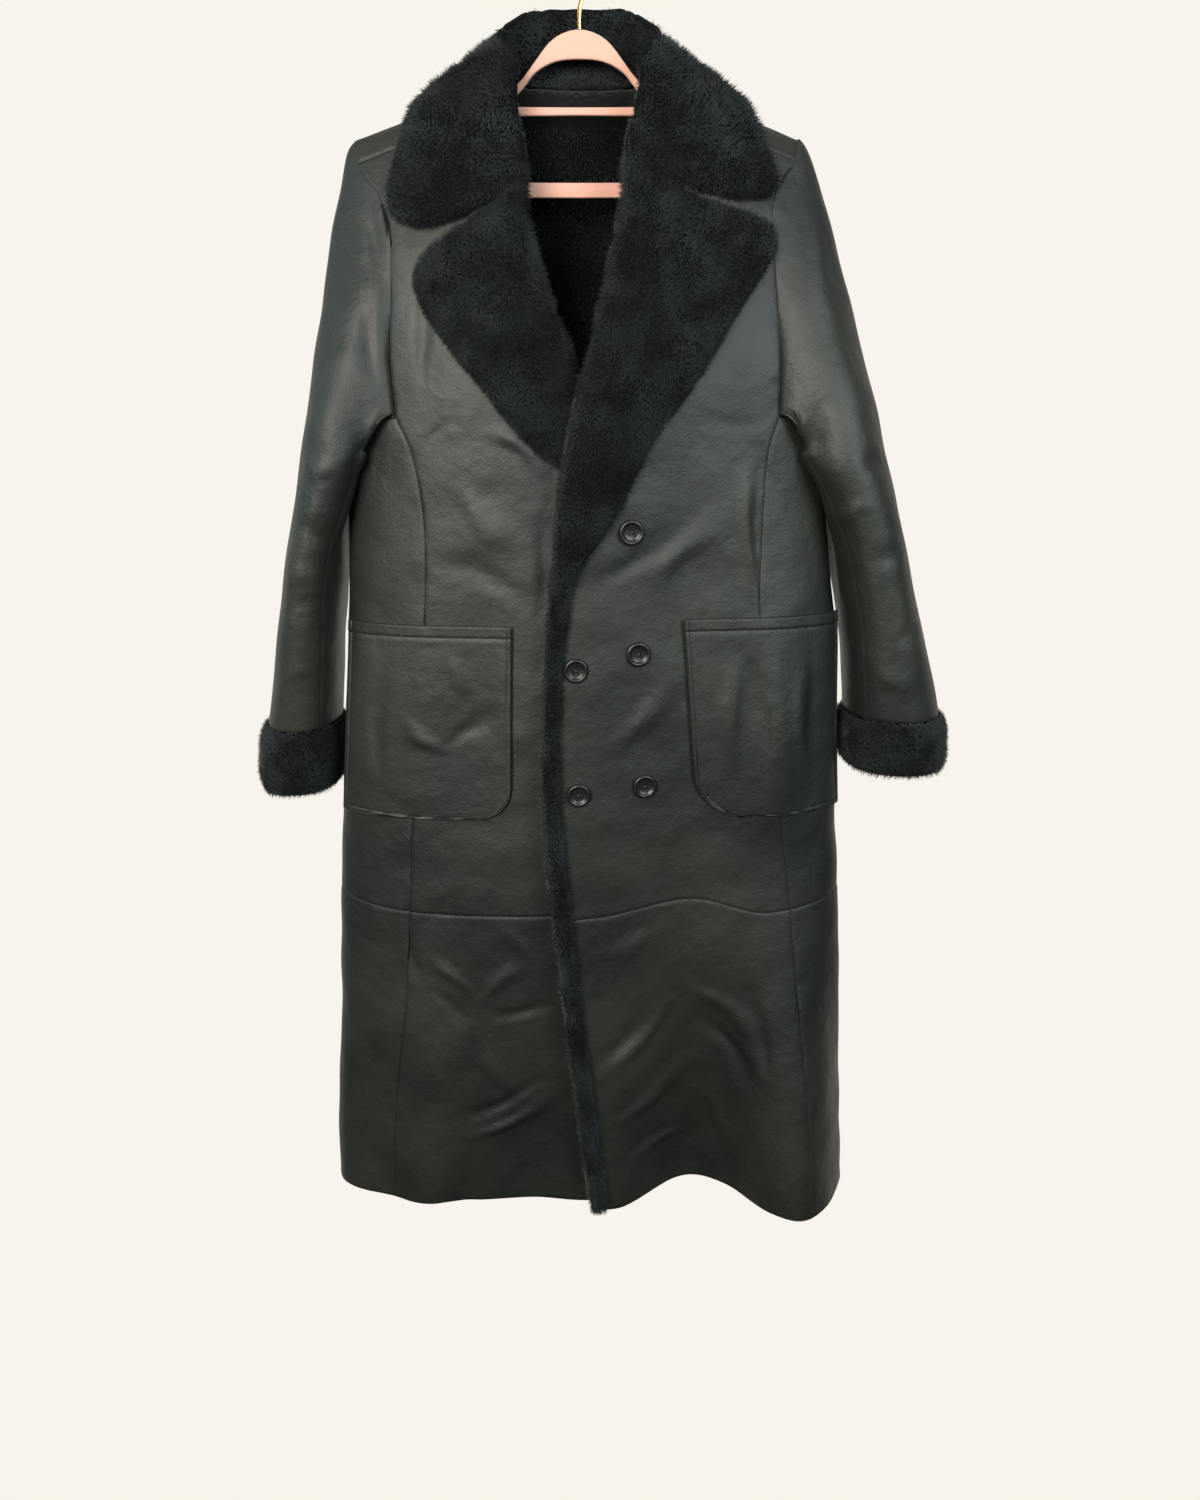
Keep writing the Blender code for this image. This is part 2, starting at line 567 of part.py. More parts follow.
def sleeve_grid(side):
    """Rows of points and normals down a sleeve, closed round it."""
    ring = armhole_ring(side)
    angles = ring_angles(ring)
    table = SLEEVES[side]
    slant = (table[1].outer - table[0].outer) / (table[0].z - table[1].z)
    rows = [[point for point, _, _ in ring]]
    for t in SLEEVE_CAP:
        row = []
        for (start, _, way), angle in zip(ring, angles):
            end = sleeve_point(side, angle, table[0].z)
            reach = (end - start).length
            leave = way * max(reach * CAP_FULLNESS, 0.050)
            outside = max(math.cos(math.radians(angle)), 0)
            arrive = Vector((slant * outside, 0, -1)).normalized() * reach * 0.9
            point = ((2 * t**3 - 3 * t**2 + 1) * start + (t**3 - 2 * t**2 + t) * leave
                     + (3 * t**2 - 2 * t**3) * end + (t**3 - t**2) * arrive)
            row.append(clear_of_body(point, side, 0.005))
        rows.append(row)
    for section in table[1:]:
        rows.append([sleeve_point(side, angle, section.z) for angle in angles])
    count = len(ring)
    grid = [[(point, normal) for point, normal, _ in ring]]
    sign = 1 if side == "left" else -1
    for i in range(1, len(rows)):
        down = rows[min(i + 1, len(rows) - 1)]
        up = rows[i - 1]
        normals = []
        for k in range(count):
            around = rows[i][(k + 1) % count] - rows[i][k - 1]
            normals.append(sign * around.cross(down[k] - up[k]).normalized())
        soft = [normals[k - 1] + normals[k] * 2 + normals[(k + 1) % count] for k in range(count)]
        grid.append([(rows[i][k], soft[k].normalized()) for k in range(count)])
    return grid


def make_sleeve(side):
    grid = sleeve_grid(side)
    count = len(grid[0])
    front_seam = 7
    back_seam = count - 5
    over = [k % count for k in range(back_seam, count + front_seam + 1)]
    under = list(range(front_seam, back_seam + 1))
    for name, columns in (("top", over), ("under", under)):
        panel(f"sleeve_{name}_{side}", [[row[k] for k in columns] for row in grid], leather)
    make_cuff(side, grid[-1])


def make_cuff(side, end):
    """A thick fur ring that goes on from the sleeve's end."""
    loops = []
    for point, normal in end:
        down = Vector((0.10 if side == "left" else -0.10, 0, -1)).normalized()
        down *= CUFF_HEIGHT[side]
        start = point + Vector((0, 0, -SEAM))
        loops.append([
            start - normal * WALL,
            start + normal * CUFF_FUR * 0.45,
            start + normal * CUFF_FUR * 0.95 + down * 0.18,
            start + normal * CUFF_FUR * 1.10 + down * 0.5,
            start + normal * CUFF_FUR * 0.95 + down * 0.85,
            start + normal * CUFF_FUR * 0.40 + down,
            start - normal * WALL + down,
            start - normal * WALL * 1.3 + down * 0.5,
        ])
    loft(f"cuff_{side}", loops, fur, closed_path=True)


# --- collar, lapels, pockets, buttons -----------------------------------------------------
def make_lapel(name, table, lifted):
    """A fur slab on a front, rounded at both edges."""
    shares = (0.0, 0.08, 0.35, 0.65, 0.92, 1.0)
    fullness = (0.45, 0.85, 1.0, 1.0, 0.85, 0.45)
    rows = []
    for a, b in zip(table, table[1:]):
        rows.append(a)
        if abs(b.roll_z - a.roll_z) > 0.06:
            rows.append(Lapel(*[(p + q) / 2 for p, q in zip(a, b)]))
    rows.append(table[-1])
    outer, inner = [], []
    for row in rows:
        tops, feet = [], []
        for share, full in zip(shares, fullness):
            x = row.roll_x + (row.edge_x - row.roll_x) * share
            z = row.roll_z + (row.edge_z - row.roll_z) * share
            point, normal = front(x, z, lifted)
            feet.append(point + normal * LAPEL_CLEARANCE)
            tops.append(point + normal * (LAPEL_CLEARANCE + row.thick * full))
        outer.append(tops)
        inner.append(feet)
    wall(name, outer, inner, fur)


def make_collar():
    stations = list(COLLAR_RIGHT) + list(reversed(COLLAR_LEFT))
    fine = []
    for k, (a, b) in enumerate(zip(stations, stations[1:])):
        before = stations[max(k - 1, 0)]
        after = stations[min(k + 2, len(stations) - 1)]
        for t in (0.0, 0.5):
            fine.append(Collar(*[
                0.5 * (2 * q + (r - p) * t + (2 * p - 5 * q + 4 * r - s) * t**2
                       + (3 * q - p - 3 * r + s) * t**3)
                for p, q, r, s in zip(before, a, b, after)]))
    fine.append(stations[-1])
    loops = []
    for row in fine:
        lean = Vector((row.lean_x, row.lean_y, row.lean_z)).normalized()
        tops, feet = [], []
        for share in (0.0, 0.22, 0.5, 0.78, 1.0):
            x = row.neck_x + (row.edge_x - row.neck_x) * share
            tilt = row.neck_tilt + (row.edge_tilt - row.neck_tilt) * share
            point, normal = with_normal(upper, x, tilt)
            way = (lean * (1 - share) + normal * share).normalized()
            height = FUR + (row.stand - FUR) * (1 - share) ** 1.2
            height *= 0.6 if share == 1.0 else 1.0
            clearance = COLLAR_CLEARANCE + RIDGE_CLEARANCE * math.sin(math.radians(tilt)) ** 12
            feet.append(point + normal * clearance)
            tops.append(point + normal * clearance + way * height)
        inward = (tops[0] - tops[1]).normalized()
        middle = (feet[0] + tops[0]) / 2 + inward * 0.003
        loops.append([middle, tops[0] - lean * 0.003, *tops[1:], *reversed(feet)])
    loft("collar", loops, fur)


def make_pocket(side):
    """A patch pocket: the body's own points, moved out."""
    pocket = POCKETS[side]
    sign = 1 if side == "left" else -1
    heights = spread(pocket.foot, pocket.top, 10)
    outer, inner = [], []
    for z in heights:
        down = (pocket.top - z) / (pocket.top - pocket.foot)
        x = abs(pocket.inner) + sign * pocket.slant * down
        over = pocket.foot + pocket.radius - z
        if over > 0:
            x += pocket.radius - math.sqrt(max(pocket.radius**2 - over**2, 0))
        tops, feet = [], []
        for turn in spread(turn_at(sign * x, z), pocket.side_turn, 12):
            point, normal = with_normal(lower, turn, z, side == "left")
            feet.append(point + normal * POCKET_CLEARANCE)
            tops.append(point + normal * (POCKET_CLEARANCE + WALL))
        outer.append(tops)
        inner.append(feet)
    wall(f"pocket_{side}", outer, inner, leather)


def make_button(number, x, z):
    """A turned button with a raised rim, on the left front."""
    point, normal = front(x, z, lifted=True)
    r = BUTTON_RADIUS
    profile = ((0.0, 0.0028), (r * 0.62, 0.0030), (r * 0.74, 0.0044), (r * 0.90, 0.0046),
               (r, 0.0030), (r * 0.96, 0.0), (0.0, 0.0))
    mesh = bpy.data.meshes.new(f"button_{number}")
    mesh.from_pydata([(across, 0, up) for across, up in profile],
                     [(k, k + 1) for k in range(len(profile) - 1)], [])
    made = add_object(f"button_{number}", mesh, horn)
    turn = made.modifiers.new("turn", "SCREW")
    turn.angle = math.tau
    turn.steps = turn.render_steps = 18
    turn.use_merge_vertices = True
    turn.merge_threshold = 0.00001
    made.location = point + normal * 0.0006
    made.rotation_mode = "QUATERNION"
    made.rotation_quaternion = normal.to_track_quat("Z", "Y")


def make_lining():
    """Fur lining of the back, where the neck's opening shows it."""
    outer, inner = [], []
    for tilt in (180, 168, 156, 144, 134, 126):
        tops, feet = [], []
        for x in spread(-0.125, 0.125, 11):
            point, normal = with_normal(upper, x, tilt)
            tops.append(point - normal * LINING_DEPTHS[0])
            feet.append(point - normal * LINING_DEPTHS[1])
        outer.append(tops)
        inner.append(feet)
    wall("lining_back", outer, inner, fur)


# --- hanger -------------------------------------------------------------------------------
def make_hanger():
    def arm(x):
        return ridge(x) - HANGER_DROP

    arch = [(0.030 * math.cos(a), -0.096 + 0.016 * math.sin(a))
            for a in (math.radians(k) for k in range(20, 161, 20))]
    half = [(0.046, -0.119), (0.062, -0.134), (0.085, -0.141), (0.115, arm(0.115)),
            (0.155, arm(0.155) - 0.001), (0.175, arm(0.175) - 0.004),
            (HANGER_TIP, arm(HANGER_TIP) - 0.012), (HANGER_TIP - 0.004, -0.192),
            (HANGER_TIP - 0.020, -0.207), (HANGER_TIP - 0.045, -0.219)]
    outline = ([(-x, z) for x, z in reversed(half)] + list(reversed(arch)) + half)
    tie = [(-0.098, -0.1525), (-0.150, -0.170), (-0.170, -0.180), (-0.165, -0.194), (-0.150, -0.206)]
    low_hole = tie + [(-x, z) for x, z in reversed(tie)]
    eye = [(-0.062, -0.1425), (-0.030, -0.1290), (-0.016, -0.110), (0.0, -0.104)]
    high_hole = eye + [(-x, z) for x, z in reversed(eye[:-1])]
    data = bpy.data.curves.new("hanger_frame", "CURVE")
    data.dimensions = "2D"
    data.fill_mode = "BOTH"
    data.extrude = HANGER_HALF
    for points in (outline, low_hole, high_hole):
        spline = data.splines.new("POLY")
        spline.points.add(len(points) - 1)
        for spot, (x, z) in zip(spline.points, points):
            spot.co = (x, z, 0, 1)
        spline.use_cyclic_u = True
    frame = add_object("hanger_frame", data, flocking)
    frame.rotation_euler = (math.radians(90), 0, 0)


def make_hook():
    radius = 0.020 + WIRE
    points = [(0.0, -0.0796), (0.0, -0.071), (0.0005, -0.062), (0.0035, -0.052), (0.0090, -0.0435)]
    for k in range(-45, 206, 16):
        a = math.radians(k)
        points.append((radius * math.cos(a), -0.020 + radius * math.sin(a)))
    data = bpy.data.curves.new("hanger_hook", "CURVE")
    data.dimensions = "3D"
    data.bevel_depth = WIRE
    data.bevel_resolution = 2
    data.use_fill_caps = True
    spline = data.splines.new("POLY")
    spline.points.add(len(points) - 1)
    for spot, (x, z) in zip(spline.points, points):
        spot.co = (x, 0, z, 1)
    add_object("hanger_hook", data, gold)


for old in list(bpy.data.objects):
    bpy.data.objects.remove(old)
coat = bpy.data.collections.new("leather_coat")
bpy.context.scene.collection.children.link(coat)
leather = material("black_leather", (0.012, 0.012, 0.011), 0.42)
fur = material("black_fur", (0.006, 0.007, 0.007), 0.85)
horn = material("black_button", (0.008, 0.008, 0.008), 0.15)
flocking = material("blush_flocking", (0.72, 0.38, 0.28), 0.9)
gold = material("gold_wire", (0.75, 0.46, 0.16), 0.25, 1.0)

make_body()
for which in ("right", "left"):
    make_sleeve(which)
    make_pocket(which)
make_lapel("lapel_right", LAPEL_RIGHT, False)
make_lapel("facing_left", FACING_LEFT, True)
make_collar()
for index, (button_x, button_z) in enumerate(BUTTONS, start=1):
    make_button(index, button_x, button_z)
make_lining()
make_hanger()
make_hook()
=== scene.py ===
"""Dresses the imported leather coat: fine leather panels, dense short fur, buttons and hanger.

Metres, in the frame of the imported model: +Z up, the front faces -Y, +X is the wearer's left,
and the origin is the inside of the top of the hanger's hook.
"""
import json
import math
from collections import namedtuple

import bmesh
import bpy
import numpy as np
from mathutils import Matrix, Vector

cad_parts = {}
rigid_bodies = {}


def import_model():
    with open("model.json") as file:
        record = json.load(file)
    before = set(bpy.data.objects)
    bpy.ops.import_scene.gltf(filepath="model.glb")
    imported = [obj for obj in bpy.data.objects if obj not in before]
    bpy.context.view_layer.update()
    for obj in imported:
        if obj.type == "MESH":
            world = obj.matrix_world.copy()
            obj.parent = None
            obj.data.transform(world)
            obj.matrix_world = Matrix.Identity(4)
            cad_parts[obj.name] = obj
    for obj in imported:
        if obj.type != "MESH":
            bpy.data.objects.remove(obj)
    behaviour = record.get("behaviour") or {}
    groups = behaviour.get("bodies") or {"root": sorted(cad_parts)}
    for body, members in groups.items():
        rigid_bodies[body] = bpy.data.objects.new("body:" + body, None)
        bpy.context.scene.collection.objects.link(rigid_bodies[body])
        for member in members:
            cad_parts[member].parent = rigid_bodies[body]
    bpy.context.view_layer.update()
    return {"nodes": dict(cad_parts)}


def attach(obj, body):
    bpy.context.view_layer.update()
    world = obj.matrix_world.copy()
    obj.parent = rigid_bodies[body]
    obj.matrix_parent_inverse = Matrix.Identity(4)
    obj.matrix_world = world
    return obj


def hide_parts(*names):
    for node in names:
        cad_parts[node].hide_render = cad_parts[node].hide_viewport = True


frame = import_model()


def table(kind, rows):
    """A table's rows, with the names of their columns."""
    return tuple(kind(*row) for row in rows)


# --- the coat's dimensions ----------------------------------------------------------------
# As in the part's own source, but for the collar's front ends, which lie lower here.
WALL = 0.003            # leather with its backing
SEAM = 0.0004           # what parts two pieces that are sewn together
FUR = 0.013             # thickness of the fur pieces
CUFF_FUR = 0.009        # how far the cuff's fur stands out from the sleeve
HEM_Z = -1.305
HEM_RISE = (0.125, 0.100, 0.013)    # where the left front's hem curves up, its half width, height
SKIRT_Z = -0.938        # the seam round the body, at its middle
SKIRT_RISE = 0.016      # how much higher that seam lies at the sides
ARM_Z = -0.420          # bottom of the armholes
SEAM_TILT = 66          # the shoulder seam lies in front of the shoulder's ridge
OVERLAP_LIFT = 0.016    # how far the top front stands off the front under it
OVERLAP_END = 0.135     # where the top front comes to lie in the common surface
RIDGE = (-0.118, 0.060, 0.36)    # height of the shoulders at the neck, from x, and their slope
BUTTON_RADIUS = 0.0125
HANGER_HALF = 0.0025
HANGER_EDGE = 0.0014    # radius of its rounded edges
HANGER_DROP = 0.0055    # how far its arms lie under the shoulders' ridge
HANGER_TIP = 0.193

# The outline of the coat's level sections, from the hem to the armholes.
Section = namedtuple("Section", "z right left front back corner")
SECTIONS = table(Section, (
    (-1.305, -0.297, 0.312, 0.062, 0.070, 2.9),
    (-1.210, -0.293, 0.305, 0.063, 0.070, 2.9),
    (-1.075, -0.281, 0.296, 0.065, 0.070, 2.8),
    (-0.948, -0.273, 0.288, 0.067, 0.069, 2.8),
    (-0.827, -0.263, 0.277, 0.069, 0.067, 2.7),
    (-0.713, -0.252, 0.269, 0.070, 0.064, 2.7),
    (-0.621, -0.244, 0.264, 0.070, 0.062, 2.6),
    (-0.522, -0.238, 0.250, 0.071, 0.063, 2.5),
    (-0.420, -0.232, 0.242, 0.072, 0.066, 2.5),
))

# Soft folds. face is -1 at the front and 1 at the back; x is taken at the fold's foot and
# head, and a fold that runs out of the hem is open.
Fold = namedtuple("Fold", "face foot_x head_x foot_z head_z half height open")
FOLDS = table(Fold, (
    (-1, 0.252, 0.215, -1.305, -0.860, 0.085, 0.050, True),
    (-1, 0.125, 0.110, -1.305, -0.960, 0.090, -0.030, True),
    (-1, -0.060, -0.030, -1.305, -0.960, 0.070, -0.007, True),
    (-1, -0.185, -0.150, -1.305, -0.900, 0.060, 0.012, True),
    (-1, 0.215, 0.190, -0.900, -0.560, 0.040, 0.010, False),
    (-1, -0.120, -0.100, -0.940, -0.500, 0.060, -0.006, False),
    (1, -0.190, -0.120, -1.305, -0.850, 0.070, 0.020, True),
    (1, 0.010, 0.000, -1.305, -0.700, 0.075, -0.016, True),
    (1, 0.200, 0.130, -1.305, -0.850, 0.070, 0.024, True),
    (1, -0.100, -0.090, -0.760, -0.400, 0.060, 0.006, False),
))

# Seams that run up the body, by height: x at the front on the wearer's right and left.
Seam = namedtuple("Seam", "z right left")
PRINCESS = table(Seam, (
    (-1.305, -0.226, 0.264), (-1.170, -0.215, 0.253), (-1.042, -0.197, 0.238),
    (-0.921, -0.186, 0.224), (-0.829, -0.179, 0.210), (-0.615, -0.157, 0.180),
    (-0.526, -0.153, 0.179), (-0.452, -0.163, 0.182), (-0.420, -0.177, 0.191),
))
BACK_SEAM = table(Seam, (
    (-1.305, -0.215, 0.225), (-0.930, -0.180, 0.190), (-0.600, -0.160, 0.168),
    (-0.480, -0.166, 0.174), (-0.420, -0.180, 0.186),
))
# The fronts' free edges. The right front lies under the left one below the lapels.
FRONT_EDGE = table(Seam, (
    (-1.305, 0.060, 0.016), (-1.149, 0.060, -0.001), (-1.025, 0.060, -0.014),
    (-0.907, 0.060, -0.025), (-0.817, 0.060, -0.032), (-0.742, 0.060, -0.032),
    (-0.670, 0.060, -0.029), (-0.590, 0.060, -0.023), (-0.513, 0.056, -0.013),
    (-0.460, 0.026, -0.001), (-0.404, 0.001, 0.012), (-0.352, -0.022, 0.027),
    (-0.305, -0.040, 0.038), (-0.255, -0.054, 0.048), (-0.205, -0.062, 0.056),
    (-0.160, -0.070, 0.066), (-0.120, -0.076, 0.076),
))
# The armholes, by tilt: 0 is level with their bottom at the front, 90 the shoulder's ridge
# and 180 level with their bottom at the back.
Armhole = namedtuple("Armhole", "tilt right left")
ARMHOLE = table(Armhole, (
    (0, -0.177, 0.191), (12, -0.180, 0.190), (24, -0.177, 0.186),
    (36, -0.176, 0.181), (48, -0.183, 0.181), (58, -0.200, 0.190),
    (66, -0.208, 0.202), (90, -0.211, 0.206), (112, -0.208, 0.203),
    (130, -0.196, 0.193), (150, -0.187, 0.187), (180, -0.180, 0.186),
))
# The back's neckline: how far up and over the ridge the back reaches, by x.
Neckline = namedtuple("Neckline", "x tilt")
NECKLINE = table(Neckline, ((0.0, 104), (0.035, 103), (0.060, 98), (0.078, SEAM_TILT),
                            (0.079, SEAM_TILT), (0.300, SEAM_TILT)))

# Level sections of the sleeves below the armhole: their two edges seen from the front, and
# their middle and half depth in Y.
Sleeve = namedtuple("Sleeve", "z inner outer y half")
SLEEVES = {
    "right": table(Sleeve, (
        (-0.460, -0.198, -0.279, 0.002, 0.078), (-0.500, -0.220, -0.288, 0.004, 0.078),
        (-0.557, -0.244, -0.301, 0.008, 0.076), (-0.620, -0.254, -0.315, 0.012, 0.072),
        (-0.680, -0.261, -0.328, 0.017, 0.067), (-0.738, -0.267, -0.341, 0.021, 0.062),
    )),
    "left": table(Sleeve, (
        (-0.460, 0.206, 0.305, 0.000, 0.078), (-0.500, 0.232, 0.317, 0.001, 0.078),
        (-0.557, 0.256, 0.333, 0.002, 0.075), (-0.620, 0.272, 0.351, 0.002, 0.071),
        (-0.680, 0.279, 0.369, 0.001, 0.066), (-0.722, 0.283, 0.380, 0.000, 0.062),
    )),
}
CUFF_HEIGHT = {"right": 0.070, "left": 0.058}
SLEEVE_POWER = 2.3      # roundness of the sleeve's level sections: 2 is an ellipse
RING_EVENNESS = 0.45    # how evenly the armhole's points spread round the sleeve
CAP_FULLNESS = 0.20     # how far the sleeve goes on sideways from the shoulder

# Fur lapels, a row from the roll line to the outer edge, and the left one's band below.
Lapel = namedtuple("Lapel", "roll_x roll_z edge_x edge_z thick")
LAPEL_RIGHT = table(Lapel, (
    (-0.050, -0.216, -0.094, -0.246, 0.012), (-0.050, -0.236, -0.134, -0.273, 0.012),
    (-0.047, -0.256, -0.148, -0.292, 0.012), (-0.040, -0.284, -0.141, -0.320, 0.012),
    (-0.030, -0.313, -0.126, -0.344, 0.012), (-0.014, -0.354, -0.083, -0.398, 0.011),
    (0.000, -0.398, -0.048, -0.438, 0.010), (0.010, -0.436, -0.022, -0.464, 0.009),
    (0.020, -0.470, 0.004, -0.492, 0.009),
))
FACING_LEFT = table(Lapel, (
    (0.043, -0.205, 0.106, -0.230, 0.013), (0.043, -0.226, 0.168, -0.248, 0.013),
    (0.041, -0.240, 0.177, -0.263, 0.013), (0.035, -0.272, 0.165, -0.290, 0.013),
    (0.027, -0.305, 0.141, -0.327, 0.013), (0.014, -0.356, 0.110, -0.378, 0.013),
    (0.001, -0.404, 0.065, -0.439, 0.013), (-0.009, -0.450, 0.038, -0.492, 0.013),
    (-0.018, -0.493, 0.017, -0.530, 0.013), (-0.025, -0.540, -0.001, -0.562, 0.012),
    (-0.031, -0.590, -0.010, -0.596, 0.011), (-0.037, -0.670, -0.019, -0.670, 0.011),
    (-0.040, -0.742, -0.021, -0.742, 0.011), (-0.040, -0.817, -0.020, -0.817, 0.011),
    (-0.033, -0.907, -0.012, -0.907, 0.011), (-0.022, -1.025, -0.001, -1.025, 0.011),
    (-0.009, -1.149, 0.012, -1.149, 0.011), (0.008, -1.304, 0.029, -1.304, 0.011),
))
LAPEL_CLEARANCE = 0.0009

# The fur collar, by station from its front end to the middle of the back. neck and edge are
# x and the tilt on the coat's surface, stand is the height of its roll over the neckline,
# and lean_x, lean_y, lean_z the way in which it stands there.
Collar = namedtuple("Collar", "neck_x neck_tilt edge_x edge_tilt stand lean_x lean_y lean_z")
COLLAR_RIGHT = table(Collar, (
    (-0.050, 42.5, -0.096, 38.5, 0.012, 0.15, -1.00, 0.05),
    (-0.052, 48.0, -0.143, 38.5, 0.013, 0.15, -1.00, 0.10),
    (-0.055, 53.0, -0.172, 44.0, 0.015, 0.10, -1.00, 0.25),
    (-0.060, 60.0, -0.173, 52.0, 0.020, 0.10, -0.80, 0.60),
    (-0.068, 70.0, -0.164, 66.0, 0.034, 0.10, -0.50, 0.90),
    (-0.077, 86.0, -0.152, 86.0, 0.052, 0.10, -0.10, 1.00),
    (-0.066, 97.5, -0.136, 122.0, 0.070, 0.10, 0.15, 1.00),
    (-0.036, 104.0, -0.075, 133.0, 0.080, 0.05, 0.30, 1.00),
    (0.000, 105.0, 0.000, 135.0, 0.084, 0.00, 0.35, 1.00),
))
COLLAR_LEFT = table(Collar, (
    (0.044, 44.5, 0.113, 43.5, 0.013, -0.15, -1.00, 0.05),
    (0.046, 50.0, 0.160, 47.0, 0.013, -0.15, -1.00, 0.10),
    (0.050, 56.0, 0.179, 51.0, 0.015, -0.10, -1.00, 0.25),
    (0.058, 62.0, 0.178, 57.0, 0.020, -0.10, -0.80, 0.60),
    (0.067, 71.0, 0.168, 68.0, 0.034, -0.10, -0.50, 0.90),
    (0.077, 86.0, 0.154, 87.0, 0.052, -0.10, -0.10, 1.00),
    (0.066, 97.5, 0.136, 122.0, 0.070, -0.10, 0.15, 1.00),
    (0.036, 104.0, 0.075, 133.0, 0.080, -0.05, 0.30, 1.00),
))
COLLAR_CLEARANCE = 0.0020
RIDGE_CLEARANCE = 0.0025            # more where the shoulder's ridge is round

# Patch pockets: inner top corner, how far it slants in, corner radius, turn at the side.
Pocket = namedtuple("Pocket", "inner slant top foot radius side_turn")
POCKETS = {
    "right": Pocket(-0.068, -0.005, -0.620, -0.826, 0.036, -74),
    "left": Pocket(0.101, 0.018, -0.612, -0.822, 0.050, 80),
}
BUTTONS = ((0.049, -0.526), (0.057, -0.646), (-0.005, -0.661), (-0.003, -0.792), (0.065, -0.785))

# --- what the looks add -------------------------------------------------------------------
# Creases and stitched darts in the leather: where they start and end, how far the middle of
# their run is bowed out, their half width, and their height; a trough has a negative one.
Crease = namedtuple("Crease", "x z end_x end_z bow half height")
FRONT_CREASES = table(Crease, (
    # bust darts
    (-0.162, -0.452, -0.094, -0.419, 0.004, 0.0055, -0.0015),
    (0.182, -0.434, 0.107, -0.411, 0.003, 0.0055, -0.0015),
    # the chest and the waist, on the wearer's right
    (-0.149, -0.283, -0.145, -0.404, 0.000, 0.010, -0.0026),
    (-0.112, -0.342, -0.084, -0.404, 0.000, 0.010, 0.0026),
    (-0.094, -0.422, -0.024, -0.477, 0.002, 0.013, 0.0029),
    (-0.134, -0.477, -0.039, -0.554, -0.004, 0.019, 0.0023),
    (-0.147, -0.554, -0.040, -0.593, 0.003, 0.015, -0.0021),
    (-0.034, -0.496, -0.041, -0.633, 0.000, 0.011, -0.0023),
    (-0.181, -0.431, -0.187, -0.603, 0.000, 0.010, 0.0036),
    (-0.161, -0.450, -0.166, -0.593, 0.000, 0.009, -0.0023),
    (-0.141, -0.648, -0.107, -0.695, 0.000, 0.011, 0.0023),
    (-0.190, -0.716, -0.135, -0.764, 0.003, 0.012, 0.0026),
    (-0.145, -0.758, -0.082, -0.695, 0.000, 0.013, -0.0026),
    (-0.200, -0.633, -0.215, -0.802, 0.000, 0.013, -0.0023),
    # the chest and the pocket, on the wearer's left
    (0.159, -0.440, 0.169, -0.603, 0.000, 0.012, 0.0036),
    (0.201, -0.431, 0.226, -0.593, 0.000, 0.016, -0.0039),
    (0.059, -0.593, 0.154, -0.496, 0.004, 0.022, 0.0031),
    (0.004, -0.593, 0.106, -0.515, 0.002, 0.018, -0.0023),
    (0.019, -0.758, 0.119, -0.633, -0.006, 0.019, 0.0023),
    (0.144, -0.633, 0.159, -0.791, 0.002, 0.013, 0.0042),
    (0.176, -0.633, 0.196, -0.802, -0.002, 0.014, -0.0042),
    (0.218, -0.633, 0.232, -0.802, 0.000, 0.011, 0.0034),
    # the right front's skirt, where it swings away from the seam
    (-0.171, -0.980, -0.115, -1.045, 0.000, 0.010, 0.0029),
    (-0.052, -0.989, -0.124, -1.050, -0.003, 0.012, 0.0031),
    (-0.167, -1.016, -0.125, -1.085, 0.000, 0.011, -0.0029),
    (-0.119, -1.060, -0.025, -1.047, 0.000, 0.013, -0.0026),
    (-0.017, -1.151, -0.147, -1.230, 0.005, 0.012, 0.0036),
    (-0.026, -1.129, -0.163, -1.201, 0.006, 0.012, -0.0031),
    (-0.125, -1.085, -0.072, -1.175, 0.000, 0.013, 0.0023),
    (-0.191, -0.950, -0.179, -1.035, 0.000, 0.012, -0.0021),
    (-0.088, -0.944, -0.046, -1.010, 0.000, 0.013, 0.0021),
    # the left front's skirt, drawn in arcs towards its curved hem
    (0.006, -1.149, 0.107, -1.016, -0.007, 0.014, 0.0039),
    (0.107, -1.016, 0.192, -1.097, 0.011, 0.013, 0.0034),
    (0.019, -1.201, 0.131, -1.110, -0.007, 0.014, 0.0031),
    (0.048, -1.248, 0.122, -1.214, 0.000, 0.011, 0.0026),
    (0.063, -1.047, 0.019, -1.129, 0.000, 0.015, -0.0031),
    (0.118, -1.047, 0.201, -1.175, 0.009, 0.018, -0.0036),
    (0.132, -1.149, 0.175, -1.241, 0.000, 0.014, 0.0026),
    (0.177, -0.986, 0.211, -1.162, 0.000, 0.015, -0.0029),
    (0.019, -0.986, 0.084, -0.950, 0.000, 0.015, 0.0018),
))
BACK_CREASES = table(Crease, (
    (-0.150, -0.470, -0.060, -0.520, 0.006, 0.018, -0.0022),
    (0.155, -0.462, 0.070, -0.524, 0.006, 0.020, -0.0020),
    (-0.110, -0.700, 0.020, -0.730, 0.008, 0.020, 0.0020),
    (0.120, -0.780, 0.015, -0.745, 0.005, 0.018, -0.0018),
    (-0.140, -0.980, -0.110, -1.190, 0.006, 0.022, 0.0026),
    (0.060, -0.975, 0.085, -1.210, 0.005, 0.024, -0.0026),
    (0.165, -1.000, 0.185, -1.150, 0.000, 0.018, 0.0022),
))
